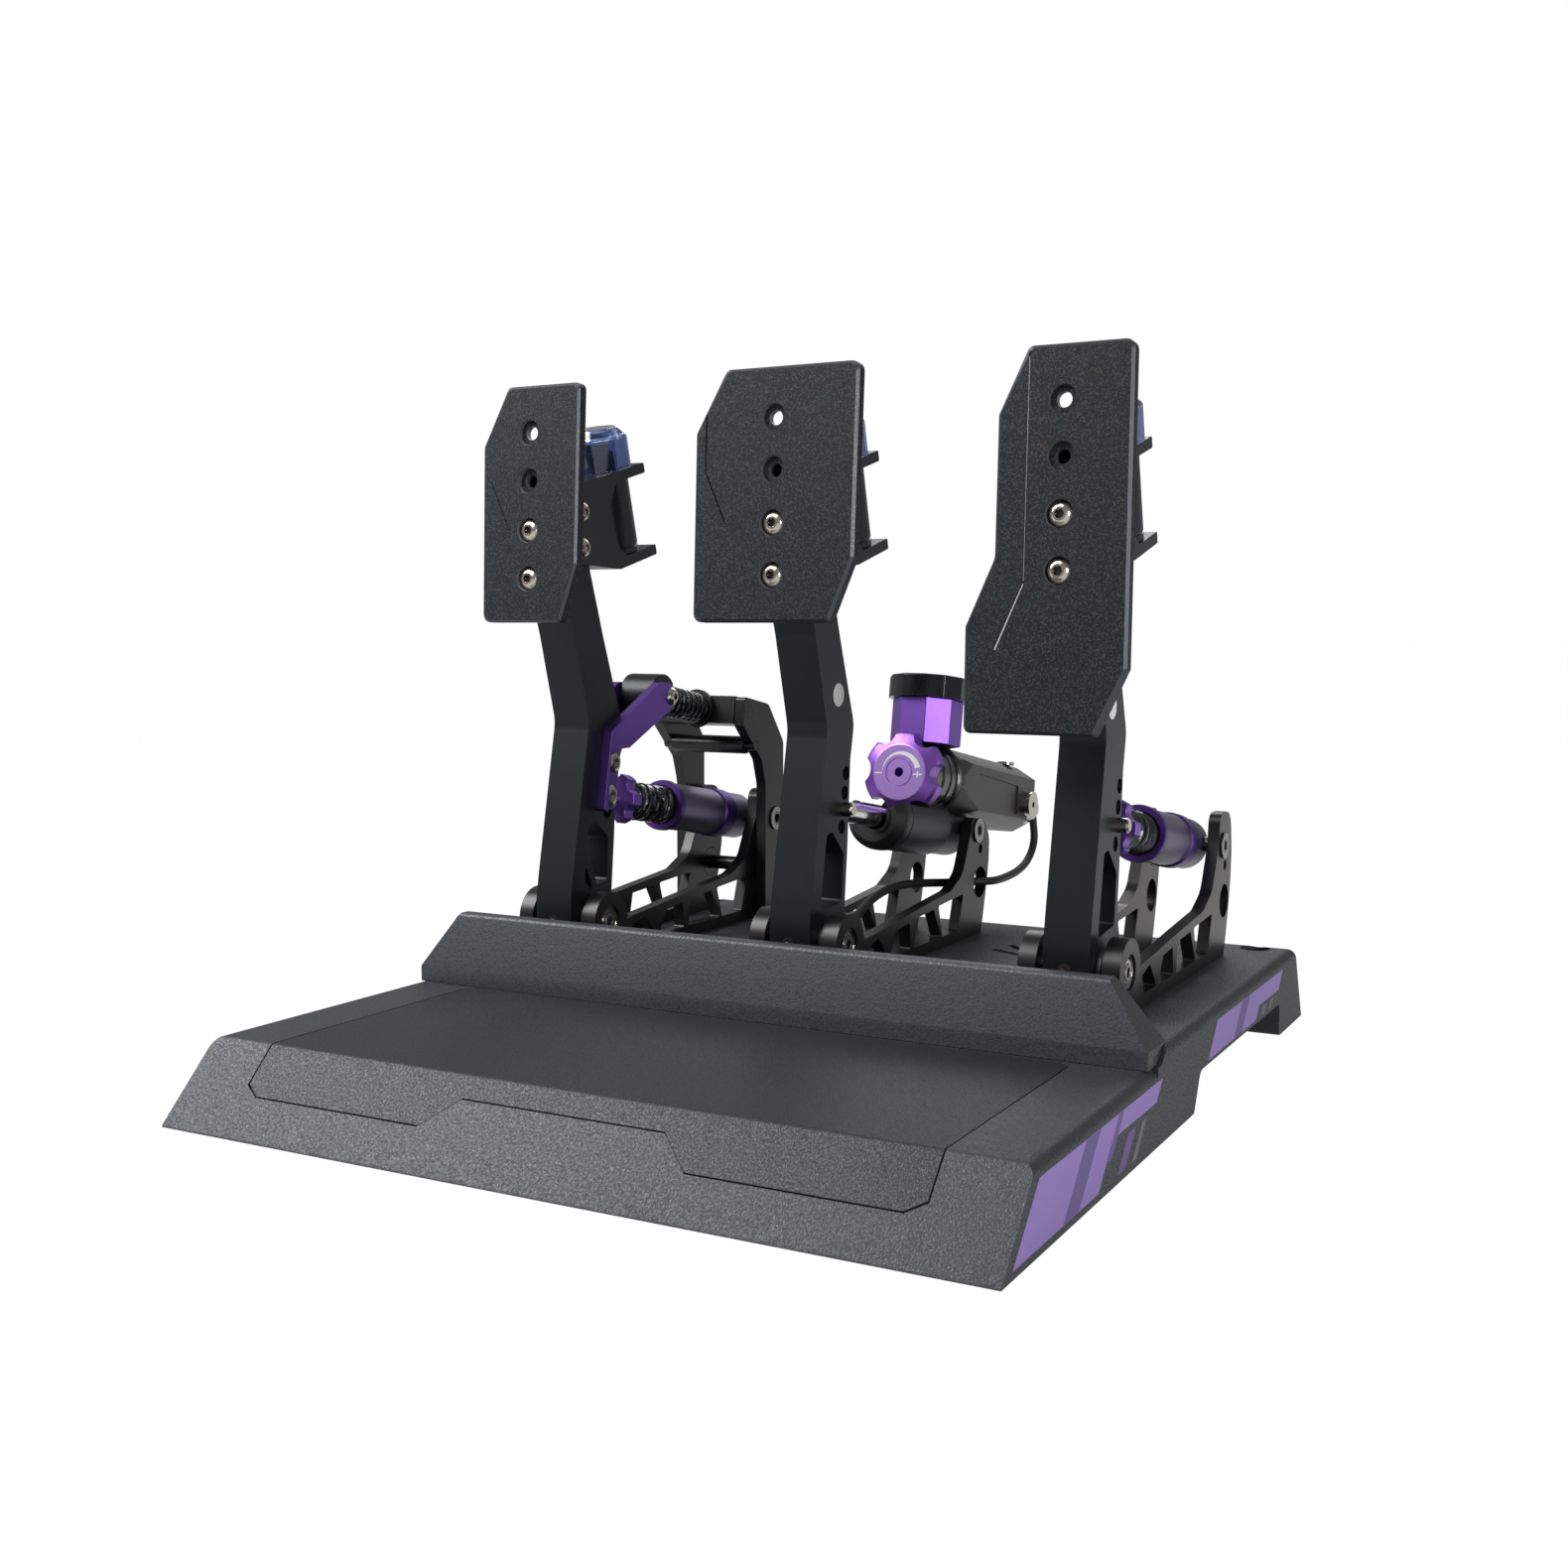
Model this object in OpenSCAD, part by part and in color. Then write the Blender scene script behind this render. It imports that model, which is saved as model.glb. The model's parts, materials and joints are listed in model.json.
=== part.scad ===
/* [Base] */
// Width of the moulded base
base_w = 370; // [360:1:380]
// Depth of the base at the floor
base_d = 440.5; // [430:0.5:450]
// Height of the heel rest
heel_h = 33.5; // [30:0.5:34]
// Height of the deck that carries the pedals
deck_h = 40.2; // [39:0.1:42]
// Height of the ridge between heel rest and deck
ridge_h = 67.8; // [60:0.1:70]
// Wall thickness of the moulding
wall = 3.5; // [3:0.1:4]
/* [Pedals] */
// Distance from one pedal to the next
pitch = 134; // [132:0.5:138]
// Width of a pedal arm
arm_w = 21; // [20:0.5:22]
// Thickness of a side plate
plate_t = 6; // [5:0.5:6]
// Half width over the outer faces of a pair of side plates
plate_half = 21.9; // [21.5:0.1:22.5]
// Radius of the bearing boss on a side plate
boss_r = 14.9; // [14:0.1:15]
// Outer radius of a pivot bearing
bearing_r = 8; // [8:0.5:8]
// Radius of the pivot axle
axle_r = 4; // [4:0.5:4]
// Thickness of a pedal face
face_t = 6; // [5:0.5:6.5]
// Backward lean of the pedal faces, in degrees
face_lean = 2.5; // [2:0.5:3]
/* [Spring units] */
// Radius of the spring cylinder
cyl_r = 13; // [12.5:0.1:13.2]
// Outer radius of the coil spring
spring_r = 10.4; // [10:0.1:10.6]
// Wire radius of the coil spring
wire_r = 1.45; // [1.2:0.05:1.5]
// Turns of the coil spring
spring_turns = 6; // [4:1:6]
// Radius of the preload nut over its lobes
nut_r = 13.6; // [12:0.1:14]
/* [Brake unit] */
// Radius of the lower brake cylinder
brake_cyl_r = 16; // [15:0.1:16.5]
// Width of the machined brake body
body_w = 42; // [41:0.5:42]
// Radius of the brake knob over its lobes
knob_r = 21.8; // [21:0.2:22]
// Radius of the fluid reservoir over its corners
reservoir_r = 19; // [18:0.1:19.4]
/* [Hidden] */
$fn = 48;
eps = 0.01;

// Places in the side view, as [y, z] from the front edge of the base at the floor
pivot = [221.8, 60];
pin = [238.6, 121.5];
bolt = [381, 97.5];
link_pin = [291.8, 170.6];
block_pin = [351, 160.4];
unit_tilt = atan2(pin.y - bolt.y, bolt.x - pin.x);
unit_len = norm(bolt - pin);
link_tilt = atan2(link_pin.y - block_pin.y, block_pin.x - link_pin.x);
link_len = norm(block_pin - link_pin);
head_tilt = 15;
head_at = [222, 250];
cradle_screws = [[-9.6, -1.2], [-5.6, 15.9]];
face_at = [184.4, 206.6];
hole_s = [24.3, 47.5, 71, 94];
clutch_x = -pitch;
throttle_x = pitch;
plate_x = plate_half - plate_t / 2;
plate_in = plate_half - plate_t;
frame_t = 6;
frame_gap = 2;
brace_at = [358, 141];
foot_bar_at = [384.8, 68.6];
ridge_y = 161.5;
ridge_back = 184;
foot_h = 2;
// The brake body reaches behind the base, so it sets the overall depth
body_end = 87;
body_top = 42.1;
overall_d = bolt.x + body_end * cos(unit_tilt) + body_top * sin(unit_tilt);

// Unit vector
function unit(v) = v / norm(v);
// Points of an arc of radius r that rounds corner b between a and c
function corner_arc(a, b, c, r, n = 4) = let (
    u = unit(a - b),
    w = unit(c - b),
    half = acos(u * w) / 2,
    p = b + u * r / tan(half),
    q = b + w * r / tan(half),
    o = b + unit(u + w) * r / sin(half),
    a0 = atan2(p.y - o.y, p.x - o.x),
    a1 = atan2(q.y - o.y, q.x - o.x),
    turn = (a1 - a0 + 540) % 360 - 180
) [for (i = [0:n]) o + r * [cos(a0 + turn * i / n), sin(a0 + turn * i / n)]];
// An outline given as [x, y, radius] corners, with each corner rounded
function rounded(p) = [for (i = [0:len(p) - 1]) let (
    a = p[(i + len(p) - 1) % len(p)],
    b = p[i],
    c = p[(i + 1) % len(p)]
) each b[2] > 0
    ? corner_arc([a.x, a.y], [b.x, b.y], [c.x, c.y], b[2])
    : [[b.x, b.y]]];

// A side-view outline made a slab of width w, centred on x = 0
module slab(w, outline) {
    rotate([90, 0, 90])
        translate([0, 0, -w / 2])
            linear_extrude(w) polygon(rounded(outline));
}
// A round bar along x between x0 and x1 at the side-view place p
module bar_x(p, r, x0, x1) {
    translate([x0, p.x, p.y]) rotate([0, 90, 0]) cylinder(r = r, h = x1 - x0);
}
// Local frame of a spring or brake unit: origin at the rear bolt, +y rearwards
module unit_frame(x) {
    translate([x, bolt.x, bolt.y]) rotate([-unit_tilt, 0, 0]) children();
}
// Local frame of the clutch link: origin at its upper pin, +y rearwards
module link_frame() {
    translate([clutch_x, link_pin.x, link_pin.y]) rotate([-link_tilt, 0, 0]) children();
}
// Local frame of the vibration module: origin behind the arm, z along the motor
module head_frame(x) {
    translate([x, head_at.x, head_at.y]) rotate([head_tilt, 0, 0]) children();
}
// Local frame of a pedal face: x across, z up the face, y = 0 at its front surface
module face_frame(x) {
    translate([x, face_at.x, face_at.y]) rotate([-face_lean, 0, 0]) children();
}
// A solid of revolution about the y axis from [radius, y] points
module turned(points) {
    rotate([-90, 0, 0]) rotate_extrude() polygon(points);
}
// A cylinder along y from y0 to y1
module rod_y(r, y0, y1) {
    translate([0, y0, 0]) rotate([-90, 0, 0]) cylinder(r = r, h = y1 - y0);
}

// Base moulding
heel_outline = [
    [0, 1, 0], [0.5, 2.2, 0], [30.9, heel_h, 3], [ridge_y + 12, heel_h, 0], [ridge_back, deck_h, 0],
    [421, deck_h, 4], [base_d, 1, 0], [386.7, 1, 2], [386.7, 17.7, 3], [234.7, 17.7, 6], [225.7, 1, 2]
];
cavity_outline = [
    [6, -1, 0], [33, heel_h - wall, 2], [ridge_y + 14, heel_h - wall, 0],
    [ridge_back + 2, deck_h - wall, 0], [418, deck_h - wall, 2], [base_d - 5, -1, 0],
    [390.2, -1, 0], [390.2, 21.2, 0], [231, 21.2, 0], [221, -1, 0]
];
edge_r = 5;
// Cutter that rounds a long edge of the base
module long_edge(y0, y1, h) {
    for (side = [-1, 1])
        translate([side * base_w / 2, y1, h]) rotate([90, 0, 0]) linear_extrude(y1 - y0)
            polygon([for (p = concat(
                [[-edge_r, 1], [1, 1], [1, -edge_r], [0, -edge_r]],
                [for (a = [15:15:75]) edge_r * [cos(a) - 1, sin(a) - 1]],
                [[-edge_r, 0]]
            )) [side * p.x, p.y]]);
}
// The heel insert is a bent sheet over the heel rest and the sloping front
insert_half = 152.5;
insert_t = 2;
slope = atan2(heel_h - 2.2, 30.4);
module slope_frame() {
    translate([0, 0.5, 2.2]) rotate([slope, 0, 0]) children();
}
function on_slope(along, depth) = [0.5 + along * cos(slope) + depth * sin(slope),
    2.2 + along * sin(slope) - depth * cos(slope)];
// gap widens the outline and lift raises the outer face, for the pocket in the base
module heel_sheet(gap, lift) {
    low = 18.9 - gap;
    rear = ridge_y - 1.4 + gap;
    a = on_slope(low, -lift);
    b = on_slope(low, insert_t);
    bend = 30.9 - lift * tan(slope / 2);
    inner = 30.9 + insert_t * tan(slope / 2);
    difference() {
        slab(2 * insert_half + 2 * gap, [
            [a.x, a.y, 0], [bend, heel_h + lift, 3 + lift], [rear, heel_h + lift, 0],
            [rear, heel_h - insert_t, 0], [inner, heel_h - insert_t, 1], [b.x, b.y, 0]
        ]);
        slope_frame() translate([0, 0, -5]) linear_extrude(10) {
            polygon([[-60 - gap, 10], [-60 - gap, low], [-46 - gap, 33 - gap], [46 + gap, 33 - gap],
                [60 + gap, low], [60 + gap, 10]]);
            for (side = [-1, 1])
                polygon([[side * (144.8 + gap), low - 1], [side * (144.8 + gap), low],
                    [side * (insert_half + gap), 24 - gap], [side * (insert_half + gap + 1), 24 - gap],
                    [side * (insert_half + gap + 1), low - 1]]);
        }
        translate([0, 0, heel_h - 5]) linear_extrude(10)
            for (side = [-1, 1])
                polygon([[side * (insert_half + gap), ridge_y - 6], [side * (insert_half + gap - 5), rear],
                    [side * (insert_half + gap - 5), rear + 1], [side * (insert_half + gap + 1), rear + 1],
                    [side * (insert_half + gap + 1), ridge_y - 6]]);
    }
}
module base_shell() {
    color("#2b2c2f") difference() {
        slab(base_w, heel_outline);
        slab(base_w - 2 * wall, cavity_outline);
        long_edge(-1, ridge_y + 8, heel_h);
        long_edge(ridge_back - 1, base_d, deck_h);
        heel_sheet(0.5, 1);
        // Rig holes at the rear corners and beside the heel rest
        for (x = rig_x, y = rig_y)
            translate([x, y, -1]) cylinder(r = rig_r, h = 60);
        // Slots for cables beside the pedals
        deck_slot([48, 342.5], [63.4, 335.3]);
        deck_slot([51.7, 357.4], [57.5, 350.9]);
        // Holes for the plate screws, the cable gland and the side socket
        for (x = [clutch_x, 0, throttle_x], side = [-1, 1], y = screw_y)
            translate([x + side * plate_x, y, 30]) cylinder(r = 2.7, h = 20);
        translate([gland_at.x, gland_at.y, 30]) cylinder(r = 5, h = 20);
        translate([-7, base_d - 18, 18]) cube([14, 20, 8]);
    }
}
// A slot through the deck between two centres
module deck_slot(a, b) {
    run = b - a;
    translate([a.x, a.y, 30]) {
        cylinder(r = 2.02, h = 20);
        rotate([0, 0, atan2(run.y, run.x)]) translate([0, -2, -1]) cube([norm(run), 4, 22]);
    }
    translate([b.x, b.y, 30]) cylinder(r = 2.02, h = 20);
}
rig_x = [-165.9, 165.9];
rig_y = [413];
rig_r = 7.7;
screw_y = [232, 375];
gland_at = [0, 262];

module heel_plate() {
    color("#242427") heel_sheet(0, 0);
}
// The ridge is a separate cover with sloping ends
module ridge_cover() {
    outline = [
        [ridge_y, heel_h, 0], [ridge_y, 41.8, 0], [ridge_y + 7.4, ridge_h, 2.5],
        [ridge_y + 15, ridge_h, 2.5], [ridge_back + 2, deck_h, 0], [ridge_back, deck_h, 0],
        [ridge_y + 12, heel_h, 0]
    ];
    inner = [
        [ridge_y + 4, heel_h - 1, 0], [ridge_y + 4, 41.8, 0], [ridge_y + 10, ridge_h - wall, 0],
        [ridge_y + 13, ridge_h - wall, 0], [ridge_back - 3, deck_h - 4, 0],
        [ridge_y + 12, heel_h - 1, 0]
    ];
    front = [
        [-183.2, heel_h - 5], [-183.2, 41], [-163.8, ridge_h + 1], [163.8, ridge_h + 1],
        [183.2, 41], [183.2, heel_h - 5]
    ];
    color("#2b2c2f") difference() {
        intersection() {
            slab(base_w, outline);
            translate([0, 300, 0]) rotate([90, 0, 0]) linear_extrude(300) polygon(front);
        }
        slab(318, inner);
    }
}
module rubber_feet() {
    color("#151515") {
        for (x = [-150, 150]) {
            translate([x, 15.5, 0]) foot(24, 12);
            translate([x, 211, 0]) foot(24, 12);
            translate([x, 428, 0]) foot(34, 12);
        }
    }
}
// A rubber foot reaches up into a pocket between the walls
module foot(w, d) {
    translate([-w / 2, -d / 2, 0]) cube([w, d, foot_h]);
    translate([-w / 2 + 3, -d / 2 + 2, 0]) cube([w - 6, d - 4, 5]);
}
module mounting_plate() {
    color("#6d7074") difference() {
        translate([-172, 190, deck_h - wall - 4]) cube([344, 206, 4]);
        for (x = [clutch_x, 0, throttle_x], side = [-1, 1], y = screw_y)
            translate([x + side * plate_x, y, 0]) cylinder(r = 2.7, h = 60);
        translate([gland_at.x, gland_at.y, 0]) cylinder(r = 5, h = 60);
        translate([40, 328, 0]) cube([30, 34, 60]);
    }
}
module plate_screws() {
    color("silver")
        for (x = [clutch_x, 0, throttle_x], side = [-1, 1], y = screw_y)
            translate([x + side * plate_x, y, 0]) {
                translate([0, 0, deck_h - wall - 4 - 2.8])
                    difference() {
                        cylinder(r = 4.5, h = 2.8);
                        translate([0, 0, -1]) cylinder(r = 1.7, h = 2.6, $fn = 6);
                    }
                translate([0, 0, deck_h - wall - 4]) cylinder(r = 2.48, h = wall + 4 + 6);
            }
}
module control_box() {
    color("#1c1c1f") difference() {
        union() {
            translate([-40, 384, 21.8]) cube([80, 24, 10]);
            translate([-6.6, 400, 18.4]) cube([13.2, 27, 7.2]);
        }
        translate([-4.5, 420, 19.6]) cube([9, 10, 4.8]);
        translate([-38.5, 385.5, 23.3]) cube([77, 21, 7]);
    }
}
module cable_gland() {
    color("#171717") translate([gland_at.x, gland_at.y, deck_h]) {
        cylinder(r = 8, h = 2);
        cylinder(r1 = 5.4, r2 = 3.6, h = gland_h, $fn = 48);
        translate([0, 0, -wall - 3]) cylinder(r = 4.9, h = wall + 3.5);
    }
}
gland_h = 9;

// Pedal side plates
module plate_windows() {
    for (w = [
        [[243, 54.8, 1], [255, 58, 1], [266, 46.3, 1], [246, 46.3, 1]],
        [[276, 58.5, 1], [291.5, 59.7, 1], [293, 46.3, 1], [268, 46.3, 1]],
        [[300.4, 61, 1], [321.8, 62.3, 1], [331.5, 46.3, 1], [297, 46.3, 1]],
        [[328, 63.2, 1], [361.5, 65.2, 1], [355, 46.3, 1], [333.5, 46.3, 1]]
    ]) slab(plate_t + 2, w);
}
tall_top = [[372, 98, 0], [374, 114.4, 6], [395, 114.4, 10], [398.4, 92.7, 12]];
low_top = [[371.5, 98, 0], [373.5, 105.4, 5], [390.5, 102.4, 7], [398.4, 92.7, 12]];
module side_plate(x, top) {
    color("#1d1d20") translate([x, 0, 0]) difference() {
        union() {
            slab(plate_t, concat([
                [211, deck_h, 0], [211, 58, 0], [236, 58, 0], [243.3, 60, 4], [264.3, 61.7, 0],
                [298.8, 65, 0], [323, 67, 0], [343.9, 68.8, 12], [360.3, 75.9, 14]
            ], top, [[397.6, 79.3, 0], [394.5, 64.8, 0], [389.7, 48, 0], [386.5, deck_h, 0]]));
            bar_x(pivot, boss_r, -plate_t / 2 - 1.1, plate_t / 2 + 1.1);
        }
        plate_windows();
        bar_x(pivot, bearing_r + 0.02, -plate_t, plate_t);
        bar_x(bolt, 4.02, -plate_t, plate_t);
        bar_x(foot_bar_at, 8.6, -plate_t, plate_t);
        bar_x([385.2, 87], 2.7, -plate_t, plate_t);
        for (y = screw_y)
            translate([0, y, deck_h - 1]) cylinder(r = 2.5, h = 7);
    }
}
// Ball bearings in the bosses: races, shield groove and bore
module pivot_bearings() {
    w = 6;
    color("silver")
        for (x = [clutch_x, 0, throttle_x], side = [-1, 1])
            translate([x + side * plate_x - w / 2, pivot.x, pivot.y]) rotate([0, 90, 0])
                difference() {
                    rotate_extrude() polygon([
                        [axle_r + 0.04, 0], [5.4, 0], [5.4, 0.5], [6.8, 0.5], [6.8, 0],
                        [bearing_r, 0], [bearing_r, w], [6.8, w], [6.8, w - 0.5],
                        [5.4, w - 0.5], [5.4, w], [axle_r + 0.04, w]
                    ]);
                }
}
// Rear pivot bolts with ringed heads outside the plates
module rear_bolt(x, half, spacer) {
    difference() {
        union() {
            bar_x_at(x, bolt, 4, -half - 1, half + 1);
            for (side = [-1, 1])
                bar_x_at(x, bolt, 6.7, side * (half + 0.6) - 0.6, side * (half + 0.6) + 0.6);
            if (spacer)
                for (side = [-1, 1])
                    bar_x_at(x, bolt, 7, side * (plate_half + 1) - 1, side * (plate_half + 1) + 1);
        }
        for (side = [-1, 1])
            bar_x_at(x, bolt, 2.5, side * (half + 1.2) - 2, side * (half + 1.2) + 2);
    }
}
module bar_x_at(x, p, r, x0, x1) {
    translate([x, 0, 0]) bar_x(p, r, x0, x1);
}
module rear_bolts() {
    color("silver") {
        rear_bolt(clutch_x, frame_out, true);
        rear_bolt(0, plate_half, false);
        rear_bolt(throttle_x, plate_half, false);
    }
}
frame_in = plate_half + frame_gap;
frame_out = frame_in + frame_t;
module clutch_frame(x) {
    color("#1d1d20") translate([x, 0, 0]) difference() {
        slab(frame_t, [
            [369.3, deck_h, 0], [369.3, 118, 20], [364.5, 132.5, 6], [343.5, 153, 3],
            [345.5, 169, 2], [373, 164, 6], [390.8, 141.5, 6], [390.5, deck_h, 0]
        ]);
        bar_x(bolt, 4.02, -frame_t, frame_t);
        bar_x(block_pin, 3.55, -frame_t, frame_t);
        bar_x(brace_at, 3.02, -frame_t, frame_t);
        bar_x(foot_bar_at, 3.02, -frame_t, frame_t);
    }
}
module clutch_cross_bars() {
    color("#232326") {
        for (z = [brace_at, foot_bar_at])
            bar_x_at(clutch_x, z, 3, -frame_out, frame_out);
        bar_x_at(clutch_x, brace_at, 5, -frame_in, frame_in);
        bar_x_at(clutch_x, foot_bar_at, 8.57, -frame_in, -plate_in);
        bar_x_at(clutch_x, foot_bar_at, 8.57, plate_in, frame_in);
        bar_x_at(clutch_x, foot_bar_at, 4, -plate_in, plate_in);
    }
}
// Block that pivots between the tall clutch frames and guides the link rod
block_bore = 5.9;
module clutch_bar_block() {
    color("#232326") difference() {
        union() {
            translate([clutch_x, block_pin.x, block_pin.y])
                rotate([-link_tilt, 0, 0]) translate([-frame_in + 0.3, -7, -7.8])
                    cube([2 * frame_in - 0.6, 14, 15.6]);
            bar_x_at(clutch_x, block_pin, 3.5, -frame_out, frame_out);
            link_frame() rod_y(10.8, link_len - 10, link_len - 6.8);
        }
        link_frame() rod_y(block_bore, link_len - 20, link_len + 20);
    }
}

// Pedal arms
side_holes = [[241.6, 138.5], [240.2, 129.3], [237.3, 113.2]];
plain_window = [[
    [215.2, 75, 1.5], [237.3, 77.3, 2], [239.6, 100.2, 2.5], [227.5, 111.8, 1.5], [221.8, 110.8, 1.5]
]];
clutch_window = [
    [[217.7, 89.3, 0.8], [217, 80, 1.5], [222, 75.4, 1], [223.3, 76.2, 0.6]],
    [
        [227.8, 76.8, 0.8], [236.6, 78.5, 2], [238, 100.3, 2.5], [224.5, 111.8, 1.5], [220.5, 110, 1.5],
        [218.8, 98.4, 0.8]
    ]
];
module arm(x, windows) {
    reach = face_t / cos(face_lean);
    face_y = function (z) face_at.x + reach + 0.02 + (z - face_at.y) * tan(face_lean);
    color("#1f1f22") translate([x, 0, 0]) difference() {
        slab(arm_w, [
            [204.6, 72, 0], [206.6, 84, 0], [221.9, 160, 18], [209.6, 204, 20], [206.9, 211.5, 3],
            [face_y(216), 216, 1], [face_y(291), 291, 2], [207.7, 291, 2], [223.7, 235.4, 0],
            [234.5, 203.7, 0], [250, 161.5, 12], [246.3, 145, 0], [243.4, 100.7, 0], [240.6, 72, 0],
            [239.5, 55, 6], [232, 47.5, 6], [211, 47.5, 6], [204.5, 54, 6]
        ]);
        for (w = windows)
            slab(arm_w + 2, w);
        head_frame(0)
            for (p = cradle_screws, side = [-1, 1])
                translate([side * 14, p.x, p.y]) rotate([0, 0, side * 90]) rod_y(2.05, -1, 8.05);
        translate([-1, 0, 61.7]) rod_y(3.03, 200, 210.03);
        bar_x(pivot, axle_r + 0.02, -arm_w, arm_w);
        bar_x(pin, 3.02, -arm_w, arm_w);
        for (p = side_holes) {
            bar_x(p, 2.1, -arm_w, arm_w);
            for (side = [-1, 1])
                bar_x(p, 3.4, side * (arm_w / 2 + 0.5) - 2, side * (arm_w / 2 + 0.5) + 2);
        }
        // Slot at the back for the rod end
        translate([-5.7, 231, 112]) cube([11.4, 30, 26.5]);
        // Tapped holes for the face screws
        face_frame(0)
            for (s = hole_s)
                translate([0, 0, s]) rotate([-90, 0, 0]) cylinder(r = 2.9, h = 24);
    }
}
// Axle with spacers that centre the arm between the bosses
module axle(x) {
    color("#8e9196") translate([x, 0, 0]) difference() {
        union() {
            bar_x(pivot, axle_r, -plate_half - 0.4, plate_half + 0.4);
            for (side = [-1, 1]) {
                bar_x(pivot, 10, min(side * arm_w / 2, side * 12.8), max(side * arm_w / 2, side * 12.8));
                bar_x(pivot, 6, min(side * arm_w / 2, side * 14.4), max(side * arm_w / 2, side * 14.4));
            }
        }
        for (side = [-1, 1])
            bar_x(pivot, 2.2, side * (plate_half + 0.4) - 4, side * (plate_half + 0.4) + 4);
    }
}
clutch_outline = [
    [-13.1, 116.4, 3], [-27.5, 88.2, 3], [-26.8, 3.2, 4], [19.4, 3.2, 2], [28.4, 31, 2], [29, 116.4, 3]
];
brake_outline = [
    [-24.8, 116.4, 3], [-40.3, 88.6, 3], [-40.3, 3.2, 4], [29.5, 3.2, 2], [40.8, 31.6, 2], [41.6, 116.4, 4]
];
throttle_outline = [
    [-15.1, 116.4, 3], [-27.8, 89.1, 3], [-27.8, 30, 8], [-40.2, 1.4, 4], [-39.8, -43.3, 3],
    [17.8, -43.3, 2], [30.4, -15.6, 2], [29.5, 116.4, 4]
];
// A face is a plate with chamfered edges, four stepped holes and an engraved line
module pedal_face(x, outline, line) {
    chamfer = 1.3;
    color("#222225") face_frame(x) difference() {
        union() {
            face_slab(outline, chamfer, face_t - chamfer);
            hull() {
                face_slab(outline, chamfer, 0.02);
                face_slab([for (p = outline) inset(p, outline, chamfer)], 0, 0.02);
            }
        }
        for (s = hole_s)
            translate([0, 0, s]) rotate([-90, 0, 0]) {
                translate([0, 0, -1]) cylinder(r = 3.3, h = face_t + 2);
                translate([0, 0, -1]) cylinder(r = 6, h = 3.6);
            }
        for (i = [0:len(line) - 2])
            engrave(line[i], line[i + 1]);
    }
}
module face_slab(outline, y0, t) {
    translate([0, y0 + t, 0]) rotate([90, 0, 0]) linear_extrude(t) polygon(rounded(outline));
}
// A corner moved towards the middle of the face by d on each axis
function inset(p, outline, d) = let (
    lo = min([for (q = outline) q.y]),
    hi = max([for (q = outline) q.y]),
    mid = (lo + hi) / 2
) [p.x - sign(p.x) * d, p.y + (p.y > mid ? -1 : 1) * (p.y == hi || p.y == lo ? d : 0), p[2]];
module engrave(a, b) {
    run = b - a;
    translate([a.x, -0.6, a.y]) rotate([0, -atan2(run.y, run.x), 0])
        translate([0, 0, -0.35]) cube([norm(run), 1.1, 0.7]);
}
// Button-head screw along +y with its head at y = 0
module button_screw(r, h, shank_r, shank) {
    difference() {
        union() {
            turned([[0, -h], [r * 0.55, -h], [r * 0.85, -h * 0.6], [r, -0.3], [r, 0], [0, 0]]);
            rod_y(shank_r, -0.1, shank);
        }
        translate([0, -h - 0.5, 0]) rotate([-90, 0, 0]) cylinder(r = r * 0.42, h = h * 0.75 + 0.5, $fn = 6);
    }
}
// Screws of a face and its motor cradle, with the cross pin of the rod
module arm_fasteners(x) {
    color("silver") {
        face_frame(x)
            for (s = [hole_s[0], hole_s[1]])
                translate([0, 2.6, s]) button_screw(5.25, 2.5, 2.9, 15);
        head_frame(x)
            for (p = cradle_screws, side = [-1, 1])
                translate([side * 14, p.x, p.y]) rotate([0, 0, side * 90]) button_screw(4.9, 2.4, 2, 8);
        // Clamp screw of the axle, in the front of the arm
        translate([x - 1, 0, 61.7]) difference() {
            rod_y(3, 204.9, 210);
            translate([0, 204, 0]) rotate([-90, 0, 0]) cylinder(r = 1.5, h = 2.4, $fn = 6);
        }
    }
}
module cross_pin(x) {
    color("silver") {
        bar_x_at(x, pin, 3, -arm_w / 2 - 1, arm_w / 2 + 0.1);
        bar_x_at(x, pin, 3.35, arm_w / 2, arm_w / 2 + 5.2);
        bar_x_at(x, pin, 2.6, arm_w / 2 + 5.1, arm_w / 2 + 5.9);
        bar_x_at(x, pin, 4.5, -arm_w / 2 - 2.5, -arm_w / 2);
    }
}
bracket_t = 5;
pocket_floor = 12;
module clutch_fasteners() {
    arm_fasteners(clutch_x);
    color("silver") {
        for (p = [pin, side_holes[0]], side = [-1, 1])
            translate([clutch_x + side * pocket_floor, p.x, p.y]) rotate([0, 0, side * 90])
                button_screw(5.5, 1.5, 2.05, p == pin ? 0.9 : 5);
        bar_x_at(clutch_x, pin, 3, -10.4, 10.4);
        // Upper pin that carries the link
        bar_x_at(clutch_x, link_pin, 2.98, -arm_w / 2 - bracket_t - 0.1, arm_w / 2 + bracket_t + 0.1);
        for (side = [-1, 1])
            translate([clutch_x + side * (arm_w / 2 + bracket_t), link_pin.x, link_pin.y])
                rotate([0, 0, side * 90]) button_screw(4.9, 2.4, 2.9, 1);
    }
}

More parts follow.
